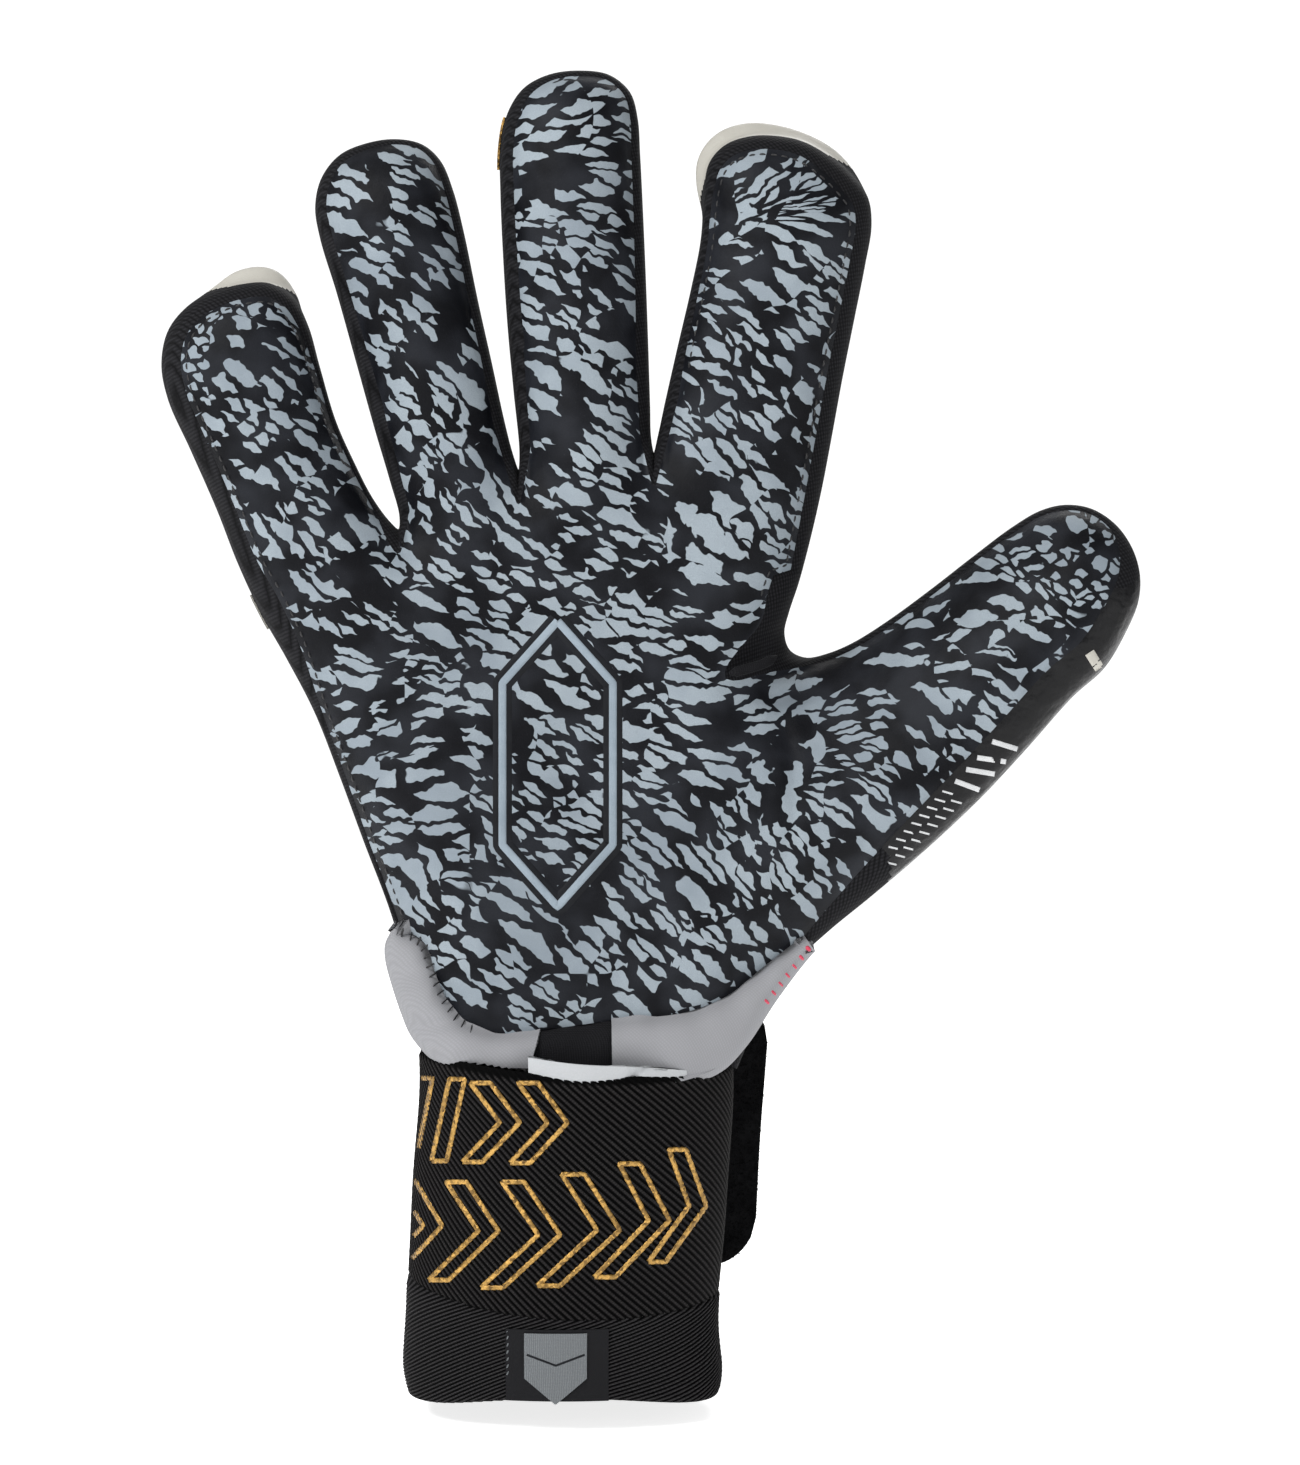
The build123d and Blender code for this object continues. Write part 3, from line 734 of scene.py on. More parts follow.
def woven(name, dark, light, pitch, rough=0.8, sheen=0.02, tilt=0.0, relief=0.00012, gloss=0.1):
    """Knitted or woven cloth: fine wales crossed by stitches, with a little fluff."""
    p = Paint(name, Specular_IOR_Level=gloss, Sheen_Weight=sheen, Sheen_Roughness=0.45)
    rest = p.place()
    turned = p.node("VectorRotate", 0, {"rotation_type": "Y_AXIS"}, Vector=rest, Angle=math.radians(tilt))
    turned = p.vector("ADD", turned, p.vector("MULTIPLY", p.sway(rest, 0.9, 2.0), (0.25, 0.25, 0.25)))
    x, y, z = p.split(turned)
    flat = p.add(x, p.mul(y, 0.8))
    wale = p.math("ABSOLUTE", p.math("SINE", p.mul(flat, math.pi / pitch)))
    course = p.math("SINE", p.mul(z, math.tau / (pitch * 0.8)))
    loop = p.mul(wale, p.add(p.mul(course, 0.3), 0.7))
    fluff = p.noise(rest, 3.2, 3.0, 0.75)
    tone = p.mul(loop, p.step(fluff, 0.25, 0.75, 0.55, 1.0))
    p.set(Base_Color=p.mix(tone, dark, light), Normal=p.bump(tone, relief, 0.8))
    p.set(Roughness=p.step(fluff, 0.2, 0.8, rough - 0.08, min(rough + 0.08, 1.0)))
    return p.material


def ribbed(name, dark, light, pitch, tilt):
    """Elastic webbing with painted shade in the valleys between its raised ribs and painted light on the
    rib tops, with yarns along them.
    """
    p = Paint(name, Specular_IOR_Level=0.05)
    rest, ridge = p.place(), p.node("Attribute", "Fac", {"attribute_name": "ridge"})
    turned = p.node("VectorRotate", 0, {"rotation_type": "Y_AXIS"}, Vector=rest, Angle=math.radians(tilt))
    waver = p.vector("MULTIPLY", p.noise(rest, 1.4, 2.0, out="Color"), (0.5, 0.5, 0.5))
    x = p.split(p.vector("ADD", turned, waver))[0]
    yarn = p.math("ABSOLUTE", p.math("SINE", p.mul(x, math.pi / pitch)))
    fluff = p.noise(rest, 3.6, 3.0, 0.75)
    # Painted shade and painted light: the rib height darkens the valleys and lightens the rib tops in the
    # colour.
    tone = p.mul(p.step(ridge, 0.55, 1.0), p.add(p.mul(yarn, 0.5), 0.5))
    tone = p.mul(tone, p.step(fluff, 0.25, 0.75, 0.45, 1.0))
    p.set(Base_Color=p.mix(tone, dark, light), Normal=p.bump(tone, 0.00015, 0.8))
    p.set(Roughness=p.step(fluff, 0.2, 0.8, 0.62, 0.8))
    return p.material


def metal_thread():
    """Gold thread: short stitches side by side, each with its own painted glint, worn darker in places."""
    p = Paint("gold_thread", Metallic=0.55, Specular_IOR_Level=0.6)
    rest = p.place()
    glint = p.cells(rest, "F1", "Color", scale=1.6)
    own = p.node("SeparateColor", 0, {}, Color=glint)
    wear = p.noise(rest, 0.35, 3.0, 0.6)
    # Painted glint: each stitch cell's random brightness stands in for light catching that stitch.
    colour = p.mix(own, (0.13, 0.068, 0.012), (0.66, 0.39, 0.10))
    colour = p.mix(p.mul(p.step(wear, 0.5, 0.75), 0.6), colour, (0.16, 0.09, 0.02))
    p.set(Base_Color=colour, Roughness=p.step(own, 0.0, 1.0, 0.32, 0.55))
    p.set(Normal=p.bump(p.noise(rest, 3.0, 2.0, 0.6), 0.00015, 0.6))
    return p.material


BLACK = (0.0045, 0.0045, 0.0052)
print_latex = latex_print()
thumb_latex = soft_latex("latex_black", (0.0025, 0.0025, 0.003), (0.006, 0.006, 0.007), 0.32, 0.2, 0.6)
white_latex = soft_latex("latex_white", (0.43, 0.415, 0.37), (0.48, 0.465, 0.42), 0.6)
neoprene = woven("neoprene_black", BLACK, (0.022, 0.022, 0.026), 0.55, 0.75)
knit = woven("knit_black", (0.0015, 0.0015, 0.002), (0.022, 0.022, 0.025), 0.95, 0.85, 0.02, 20, 0.0001)
heel_cloth = woven("heel_fabric", (0.25, 0.252, 0.265), (0.3, 0.303, 0.318), 0.62, 0.85, 0.04, 38, 0.000015)
tab_cloth = woven("tab_elastic", (0.004, 0.004, 0.005), (0.016, 0.016, 0.018), 0.5, 0.85)
# The strap's and cuff's dark colours are painted shade for the rib valleys, and their light colours are
# painted light on the rib tops.
strap_cloth = ribbed("strap_weave", (0.0004, 0.0004, 0.0005), (0.034, 0.032, 0.032), 0.55, -50)
cuff_cloth = ribbed("cuff_elastic", (0.0015, 0.0015, 0.0017), (0.050, 0.048, 0.050), 0.5, 68)
satin = woven("label_satin", (0.36, 0.375, 0.39), (0.56, 0.575, 0.59), 0.16, 0.42, 0.1, 0, 0.00003, 0.4)
black_satin = woven(
    "label_black_satin", (0.003, 0.003, 0.004), (0.010, 0.010, 0.012), 0.2, 0.6, 0.02, 0, 0.00004, 0.15
)
grey_thread = woven("label_grey_thread", (0.1, 0.108, 0.115), (0.23, 0.245, 0.255), 0.35, 0.6, 0.1, 0, 1e-4)
pile = soft_latex("loop_pile_black", (0.0022, 0.0022, 0.0026), (0.009, 0.009, 0.010), 0.9, 0.1)
hook = soft_latex("hook_tape_black", (0.004, 0.004, 0.005), (0.012, 0.012, 0.013), 0.45, 0.4)
rubber = soft_latex("badge_rubber", (0.008, 0.008, 0.009), (0.016, 0.016, 0.018), 0.38, 0.3)
gold = metal_thread()
ink = soft_latex("emblem_print", (0.19, 0.235, 0.275), (0.27, 0.325, 0.375), 0.6, 0.35)
black_ink = soft_latex("emblem_ground", (0.004, 0.0045, 0.006), (0.008, 0.009, 0.012), 0.6, 0.17)
white_ink = soft_latex("white_print", (0.42, 0.43, 0.44), (0.62, 0.63, 0.64), 0.5, 0.4)
red_thread = soft_latex("thread_red", (0.45, 0.025, 0.06), (0.62, 0.06, 0.11), 0.55, 0.4)
black_thread = soft_latex("thread_black", (0.004, 0.004, 0.005), (0.014, 0.014, 0.015), 0.5, 0.5)

# ---- turning surfaces into pieces

# Where along each digit the bend of a fold starts and ends.
KNUCKLE_BEND = dict(zip(DIGITS, [(1, 17), (1, 17), (1, 17), (1, 17), (6, 24)]))
MIDDLE_BEND = dict(zip(DIGITS, [(24, 42), (32, 50), (35, 53), (32, 50), (34, 56)]))

# How the print's blotches lie at places on the palm side: X, Z, degrees from X, and how round they are.
PRINT_AIMS = [
    (-70, 222, -20, 0.9), (-60, 202, -32, 0.5), (-48, 182, -44, 0.2), (-39, 252, -30, 0.2),
    (-31, 226, -46, 0), (-22, 197, -50, 0), (2, 270, 18, 0.3), (3, 254, -8, 0.1), (4, 230, -34, 0),
    (5, 203, -40, 0.2), (45, 257, 36, 0), (46, 238, -36, 0), (43, 216, -42, 0), (39, 194, -46, 0),
    (5, 177, -18, 0.5), (-42, 162, -24, 0.1), (-38, 143, 14, 0.1), (-30, 121, 4, 0.2), (0, 142, -30, 0.1),
    (28, 164, -14, 0), (40, 147, 8, 0.1), (52, 150, 14, 0), (80, 167, 30, 0), (90, 145, -38, 0),
    (107, 178, -4, 1), (72, 124, -50, 0), (4, 98, -38, 0.1), (-20, 104, -34, 0.1), (26, 106, -46, 0.1),
    (42, 116, -58, 0),
]


def print_aim(verts):
    """How the print lies at each vertex: a direction in X and Z, and how round its blotches are."""
    rows = np.array(PRINT_AIMS, float)
    away = (verts[:, :1] - rows[:, 0]) ** 2 + (verts[:, 2:] - rows[:, 1]) ** 2
    share = 1 / (away + 30) ** 1.6
    share /= share.sum(1)[:, None]
    angle = np.radians(rows[:, 2])
    way = np.column_stack([share @ np.cos(angle), share @ np.sin(angle)])
    way /= np.linalg.norm(way, axis=1)[:, None]
    return np.column_stack([way, share @ rows[:, 3]])


def attach(obj, part):
    """Makes a piece ride on the hand; a digit's piece only has its transform applied to its mesh."""
    if part == "hand":
        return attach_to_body(obj, "hand")
    name, length = part.rsplit("_", 1)
    digit = digits[name]
    if length == "base":
        start, end = KNUCKLE_BEND[name]
        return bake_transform(obj, "hand", name + "_base", digit.point(start), digit.point(end))
    start, end = MIDDLE_BEND[name]
    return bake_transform(obj, name + "_base", name + "_tip", digit.point(start), digit.point(end))


def close_piece(name, verts, faces, normals, material, thickness, flow=False, ridge=None):
    """A closed panel object from a surface with smooth normals on both its sides."""
    used = np.unique(np.concatenate([np.asarray(f) for f in faces]))
    index = {int(v): k for k, v in enumerate(used)}
    faces = [tuple(index[int(v)] for v in f) for f in faces]
    verts, normals = verts[used], normals[used]
    solid, all_faces = thicken(verts, faces, normals, thickness)
    extra = {"rest": solid}
    # The rib height is also kept on each vertex, for the painted shade and light of the ribbed cloth.
    if ridge is not None:
        extra["ridge"] = np.repeat(np.tile(ridge[used], 2)[:, None], 3, axis=1)
    if flow:
        extra["flat"] = np.column_stack([solid[:, 0], solid[:, 2], 0 * solid[:, 0]])
        extra["aim"] = print_aim(solid)
    return new_object(name, solid, all_faces, material, np.vstack([normals, -normals]), extra)


def piece(name, data, material, part, nodes=(), thickness=2.0, flow=False):
    """Builds, attaches and names one sewn piece, and says which CAD nodes it stands for."""
    obj = close_piece(name, *data, material, thickness, flow)
    attach(obj, part)
    if nodes:
        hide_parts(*nodes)
    return obj


def part_faces(data, part):
    verts, faces, normals, parts = data
    return verts, faces[parts == part], normals


COLUMNS, ROWS = len(edge), len(wall)


def wall_faces(ranges, low=0, high=ROWS - 1):
    """Quads of the wall between columns, and between rows."""
    quads = []
    for first, last in ranges:
        for c in range(first, last):
            for r in range(low, high):
                a = r * COLUMNS + c
                quads.append((a, a + 1, a + COLUMNS + 1, a + COLUMNS))
    return quads


every_quad = np.array(wall_faces([(0, COLUMNS - 1)]))
wall_normals = vertex_normals(wall_verts, every_quad)
middle_row = slice((FRONT_ROWS - 1) * COLUMNS, FRONT_ROWS * COLUMNS)
FLIP = (wall_normals[middle_row][:, [0, 2]] * edge_normal).sum() > 0
if FLIP:
    wall_normals = -wall_normals


def wall_data(quads):
    """A surface of some of the wall's quads."""
    return wall_verts, [q[::-1] for q in quads] if FLIP else quads, wall_normals


def wall_part(ranges, low=0, high=ROWS - 1):
    return wall_data(wall_faces(ranges, low, high))


def joined(a, b):
    """Two surfaces as one."""
    shift = len(a[0])
    faces = [tuple(f) for f in a[1]] + [tuple(int(i) + shift for i in f) for f in b[1]]
    return np.vstack([a[0], b[0]]), faces, np.vstack([a[2], b[2]])


# Columns where the back panel comes round to the front, and the row of the wall it reaches.
WRAPS = [
    (nearest(119.0, 181.5), nearest(62.0, 103.5), 0),
    (nearest(-77.5, 230.5), nearest(-54.0, 229.5), FRONT_ROWS - 2),
    (nearest(30.0, 248.0), nearest(62.5, 256.0), FRONT_ROWS - 2),
]


def wrap_row(column):
    """Wall row at which the back panel's cover begins at a column: it tapers in at both of its ends."""
    for low, high, row in WRAPS:
        if low <= column < high:
            return max(row, ROWS - 1 - min(column - low, high - 1 - column))
    return ROWS - 1


def wall_pieces(ranges):
    """The knit wall over column ranges, and what the back panel covers of it instead."""
    cover, knit_side = [], []
    for first, last in ranges:
        for column in range(first, last):
            row = wrap_row(column)
            knit_side += wall_faces([(column, column + 1)], 0, row)
            cover += wall_faces([(column, column + 1)], row, ROWS - 1)
    return wall_data(knit_side), wall_data(cover) if cover else None


# ---- hand and fingers

front, back = part_faces(front_sheet, "hand"), part_faces(back_sheet, "hand")
covered = ("palm_latex", "palm_foam")
piece("palm_latex_panel", front, print_latex, "hand", covered, 3.0, True)
piece("backhand_neoprene", back, neoprene, "hand", ("backhand_panel",), 2.5)
little_side = wall_part([(0, BASE_CUTS["little"][0])])
piece("little_side_wall", little_side, knit, "hand", ("little_side_gusset",))
web = wall_part([(BASE_CUTS["index"][1], BASE_CUTS["thumb"][0])])
piece("thumb_web_wall", web, knit, "hand", ("thumb_web_gusset",))
side_knit, side_latex = wall_pieces([(BASE_CUTS["thumb"][1], COLUMNS - 1)])
piece("thumb_side_wall", side_knit, knit, "hand", ("thumb_side_gusset",))
piece("thumb_side_latex", side_latex, thumb_latex, "hand")

for name in DIGITS:
    first, last = BASE_CUTS[name]
    start, end = MIDDLE_CUTS[name]
    lengths = {"base": [(first, start), (end, last)], "tip": [(start, end)]}
    back_look = (thumb_latex, "latex_plain") if name == "thumb" else (white_latex, "latex_white")
    for length, ranges in lengths.items():
        part = f"{name}_{length}"
        front = part_faces(front_sheet, part)
        front_node = (part + "_front_panel",)
        piece(part + "_palm_side", front, print_latex, part, front_node, 2.5, True)
        wall_knit, wall_latex = wall_pieces(ranges)
        nodes = (part + "_gusset",) + (("finger_webs",) if part == "ring_base" else ())
        piece(part + "_wall", wall_knit, knit, part, nodes, 1.6)
        back = part_faces(back_sheet, part)
        if wall_latex:
            back = joined(back, wall_latex)
        piece(part + "_back", back, back_look[0], part, (part + "_back_panel",), 2.5)


# ---- wrist: helpers

CUFF_A, CUFF_B = 29.5, 20.0  # half sizes of the oval that the wrist pieces are measured out from
STRAP_OUT = 2.5  # how far the strap lies outside that oval
ROUND = np.linspace(0, math.tau, 2881)


def ring_length(grow):
    """Length round the wrist at a distance outside the oval."""
    return np.hypot(*np.diff([(CUFF_A + grow) * np.cos(ROUND), (CUFF_B + grow) * np.sin(ROUND)])).sum()


def round_wrist(s, grow, z):
    """Places round the wrist at distances s from the middle of its palm side, towards the thumb."""
    line = np.array([(CUFF_A + STRAP_OUT) * np.cos(ROUND), (CUFF_B + STRAP_OUT) * np.sin(ROUND)])
    run = np.concatenate([[0], np.cumsum(np.hypot(*np.diff(line)))])
    angle = np.interp((s + run[-1] * 0.75) % run[-1], run, ROUND)
    return lean_wrist((CUFF_A + grow) * np.cos(angle), (CUFF_B + grow) * np.sin(angle), z)


def lean_wrist(x, y, z):
    """Places on the wrist, which widens and leans a little to the thumb side, and whose cloth is uneven."""
    z = z + 0 * x
    rise_z = smooth(15, 72, z)
    swell = 1 + 0.007 * np.sin(z / 9 + x / 13) + 0.005 * np.sin(z / 5.3 - x / 7 + y / 9)
    return np.stack([x * (1.02 + 0.012 * rise_z) * swell + 0.7 + 2.6 * rise_z, y * swell, z], axis=-1)


def grid_faces(rows, columns, closed=False):
    """Quads of a grid of vertices, whose columns may join round into a ring."""
    faces = []
    for r in range(rows - 1):
        for c in range(columns if closed else columns - 1):
            a, b = r * columns + c, r * columns + (c + 1) % columns
            faces.append((a, b, b + columns, a + columns))
    return faces


def tube_faces(rings, sides, start=0):
    """Faces of a closed tube whose rings of vertices follow each other."""
    last = (rings - 1) * sides
    faces = [tuple(reversed(range(sides)))] + grid_faces(rings, sides, closed=True)
    return [tuple(start + i for i in f) for f in faces + [tuple(range(last, last + sides))]]


def grid_piece(name, grid, material, thickness, closed=False, flip=False, ridge=None):
    """A closed panel from a grid of places, thickened behind its outer face."""
    rows, columns = grid.shape[:2]
    verts = grid.reshape(-1, 3)
    faces = np.array(grid_faces(rows, columns, closed))
    faces = faces[:, ::-1] if flip else faces
    normals = vertex_normals(verts, faces)
    return close_piece(name, verts, faces, normals, material, thickness, ridge=ridge)


def wrist_piece(obj, slot, *nodes, body="hand"):
    """Lets a piece ride on one body, and says which CAD nodes it stands for; its slot argument is not used.
    """
    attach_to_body(obj, body)
    if nodes:
        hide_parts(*nodes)
    return obj


RIBS_PER_TURN, SAMPLES = 101, (6)  # the strap's ribs, and columns for each
RIB_LEAN, STRAP_HIGH = 1.19, 50  # how far a rib runs round for each millimetre up, and the strap's height


def strap_edges(s):
    """Heights of the strap's lower and upper edges round the wrist: the palm side dips."""
    turn = s / ring_length(STRAP_OUT) * math.tau
    palm = np.maximum(np.cos(turn), 0) ** 1.5
    thumb = np.sin(turn)
    low = 24.4 - 4.7 * palm - 1.9 * thumb + 0.3 * np.sin(3 * turn + 1)
    high = 73.4 - 2.6 * palm - 1.4 * thumb
    return low, high


def strap_grid(ribs=0.45):
    """Webbing with raised diagonal ribs that run down towards the thumb side."""
    length, rows = ring_length(STRAP_OUT), 27
    columns = RIBS_PER_TURN * SAMPLES
    s0 = np.arange(columns) / columns * length
    up = np.linspace(0, 1, rows)[:, None]
    s = s0[None] - RIB_LEAN * STRAP_HIGH * up
    low, high = strap_edges(s)
    z = low + (high - low) * up
    phase = s0[None] / length * RIBS_PER_TURN + 0 * up
    ridge = np.abs(np.sin(np.pi * phase)) ** 0.7
    edge_fade = smooth(0, 0.03, up) * smooth(1, 0.97, up)
    grow = STRAP_OUT + ribs * (ridge - 0.7) * edge_fade - 0.7 * (1 - edge_fade)
    return round_wrist(s, grow, z), (ridge * edge_fade).ravel()


strap_places, strap_ridge = strap_grid()
strap = grid_piece("wrist_strap_webbing", strap_places, strap_cloth, 1.9, closed=True, ridge=strap_ridge)
wrist_piece(strap, "strap_weave", "wrist_strap")


def cuff_grid():
    """The elastic cuff: ribbed and flared below the strap, narrower and plain under it."""
    ribs, samples = 79, (8)
    columns, length = ribs * samples, ring_length(STRAP_OUT)
    s0 = np.arange(columns) / columns * length
    rows, ridges = [], []
    heights = [(0.6, -1.1), (0.1, -0.4), (0.25, 0.1)] + [(z, 0.45) for z in np.linspace(1.2, 25.2, 20)]
    heights += [(27, -0.2), (30, -0.6), (40, -0.6), (56, -0.6), (71, -0.6), (72, -1.2)]
    for z, amount in heights:
        s = s0 + 2.3 * min(z, 26)
        turn = s / length * math.tau
        palm = np.maximum(np.cos(turn), 0) ** 1.6
        corner = np.abs(np.sin(turn)) ** 14 * max(0.0, 1 - z / 9)
        lift = (4.6 * palm + 1.1) * max(0.0, 1 - z / 24) + 1.9 * corner
        ridge = np.abs(np.sin(np.pi * s0 / length * ribs)) ** 0.8 - 0.6
        wave = 0.5 * np.sin(3 * turn + 0.6) * max(0.0, 1 - z / 16)
        below_strap = strap_edges(s)[0] - (z + lift)
        flare = (2.75 + 0.9 * smooth(4, 20, below_strap)) * smooth(-3.5, -0.8, below_strap)
        ribbing = 0.36 * ridge if amount > 0.1 else 0
        grow = flare - 1.1 * corner**2 + ribbing + min(amount, 0.0) + wave * 0.6
        rows.append(round_wrist(s, grow, z + lift + 0.25 * wave))
        ridges.append(ridge + 0.6)
    return np.array(rows), np.concatenate(ridges)


cuff_places, cuff_ridge = cuff_grid()
cuff = grid_piece("cuff_elastic_tube", cuff_places, cuff_cloth, 1.6, closed=True, ridge=cuff_ridge)
wrist_piece(cuff, "elastic_black", "cuff")


# ---- wrist: what is sewn on


def tree_of(*names):
    """One search tree over finished pieces, in millimetres."""
    verts, polys = [], []
    for name in names:
        obj, start = bpy.data.objects[name], len(verts)
        verts += [tuple(v.co / MM) for v in obj.data.vertices]
        polys += [tuple(start + i for i in f.vertices) for f in obj.data.polygons]
    return BVHTree.FromPolygons(verts, polys)


def seen_at(tree, x, z):
    """Where the line of sight through a place in the Y = 0 plane first meets a surface."""
    eye_at = Vector((VIEW_X, -VIEW_DISTANCE, VIEW_Z))
    found = tree.ray_cast(eye_at, (Vector((x, 0, z)) - eye_at).normalized())
    return np.array(found[0]) if found[0] is not None else None


def toward_eye(at):
    """Direction from a place to the camera, which is near enough its surface's normal for thin trim."""
    way = np.array([VIEW_X, -VIEW_DISTANCE, VIEW_Z]) - at
    return way / np.linalg.norm(way)


def ribbon(tree, line, width, height, sink, twist, closed, step):
    """A raised line on a surface through places seen from the front: vertices and faces."""
    path = resample(np.array(line + line[:1] if closed else line, float), step)
    side = -side_normals(path)
    across = np.array([-1, -0.8, -0.35, 0.35, 0.8, 1]) * width / 2
    up = np.array([-sink, 0.6, 1.0, 1.0, 0.6, -sink]) * np.array([1, height, height, height, height, 1])
    rings = []
    for k, (place, way) in enumerate(zip(path, side)):
        spots = [seen_at(tree, *(place + way * a)) for a in across]
        if any(at is None for at in spots):
            rings.append(None)
            continue
        waves = [twist * math.sin(math.tau * (k * step / 1.25 + a / width * 0.9)) for a in across]
        waves = [wave if h > 0 else 0.0 for wave, h in zip(waves, up)]
        rings.append([at + toward_eye(at) * (h + wave) for at, h, wave in zip(spots, up, waves)])
    verts, faces, count = [], [], len(across)
    for k, ring in enumerate(rings):
        if ring is None:
            continue
        start = len(verts)
        verts += ring
        if k and rings[k - 1] is not None:
            around = [(i, (i + 1) % count) for i in range(count)]
            faces += [(start - count + i, start - count + j, start + j, start + i) for i, j in around]
        else:
            faces.append(tuple(range(start, start + count)))
        if k + 1 == len(rings) or rings[k + 1] is None:
            faces.append(tuple(reversed(range(start, start + count))))
    return verts, faces


def trim(name, tree, lines, width, height, material, sink=0.3, twist=0.0, closed=False, step=0.45):
    """Raised lines on a surface, as one object."""
    verts, faces = [], []
    for line in lines:
        v, f = ribbon(tree, line, width, height, sink, twist, closed, step)
        faces += [tuple(i + len(verts) for i in face) for face in f]
        verts += v
    return new_object(name, verts, faces, material)


def slanted(x, z, width, height, lean):
    """Corners of a slanted four-sided outline from its lower left corner."""
    top = lean * height
    return [(x, z), (x + top, z + height), (x + top + width, z + height), (x + width, z)]


def arrow(x, z, width, height, lean, nose):
    """Corners of a slanted chevron outline that points right, from its lower left corner."""
    half = height / 2
    tip = (x + lean * half + nose, z + half)
    left = [(x, z), tip, (x + lean * height, z + height)]
    return left + [(a + width, b) for a, b in reversed(left)]


# Two slanted bars and two chevrons above, six chevrons below.
CHEVRONS = [
    (-20.5, 50.4, 4.2, 16.6, 0.1, 7), (-10.5, 50.2, 4.2, 16.8, 0.1, 7),
    (-37.5, 27.5, 4, 19, 0.16, 7.2), (-27.6, 25.6, 4.2, 20.6, 0.18, 8.6),
    (-16.6, 24, 4.6, 22.2, 0.2, 9.8), (-4.8, 24.4, 4.8, 23.4, 0.22, 10),
    (7.2, 26.2, 4.4, 23.8, 0.22, 8.8), (18.6, 29.4, 3.6, 23.6, 0.18, 6.4),
]
outlines = [slanted(-33.8, 51, 3.6, 17.0, 0.20), slanted(-27.0, 50.6, 3.2, 17.2, 0.22)]
outlines += [arrow(*row) for row in CHEVRONS]
# The gold lines lie on the strap's mean surface, between the ridges and valleys of its ribs.
plain = strap_grid(0.0)[0]
plain_faces = grid_faces(*plain.shape[:2], closed=True)
strap_tree = BVHTree.FromPolygons([tuple(v) for v in plain.reshape(-1, 3)], plain_faces)
lines = trim("strap_gold_outlines", strap_tree, outlines, 1.2, 0.32, gold, 0.5, 0.12, True, 0.3)
wrist_piece(lines, "badge_rubber")


def front_patch(name, x_ends, z_range, grow, material, thickness, rows=24):
    """A patch on the front of the cuff that follows its curve; x_ends gives its sides at a height."""
    grid = []
    for z in np.linspace(*z_range, rows):
        x = np.linspace(*x_ends(z), 30)
        out = 2.75 + 0.9 * smooth(4, 20, 19.7 - z) + grow
        grid.append(lean_wrist(x, -(CUFF_B + out) * np.sqrt(1 - (x / (CUFF_A + out)) ** 2), z))
    return grid_piece(name, np.array(grid), material, thickness)


def pentagon(z):
    """Left and right edges of the label's downward pointing print at a height."""
    half = 6.2 * min(1.0, max(0.02, (z - 4.6) / 5.2))
    return -0.9 - half, -0.9 + half


label = front_patch("cuff_label_patch", lambda z: (-10.8, 9.6), (5.2, 19.6), 0.45, black_satin, 0.5)
wrist_piece(label, "label_black", "cuff_label")
print_patch = front_patch("cuff_label_pentagon", pentagon, (4.7, 18.9), 0.8, grey_thread, 0.4, 40)
wrist_piece(print_patch, "label_grey", "cuff_label_print")


# ---- padded heel below the palm

HEEL_BOTTOM = [
    (-35, 99.2), (-36.4, 96.4), (-36.5, 93), (-35.2, 87.6), (-33.1, 81.5), (-30.6, 76.5), (-25, 71.6),
    (-12, 67.5), (8, 67), (24, 67.6), (33.5, 70.4), (39, 75.6), (45, 84.2), (53.2, 95.2),
]


HEEL_COLUMNS = 150


def heel_line(points):
    """The same number of places along either edge of the heel."""
    line = resample(spline(points, 12), 0.5)
    share = np.linspace(0, 1, HEEL_COLUMNS), np.linspace(0, 1, len(line))
    return np.column_stack([np.interp(*share, line[:, k]) for k in range(2)])


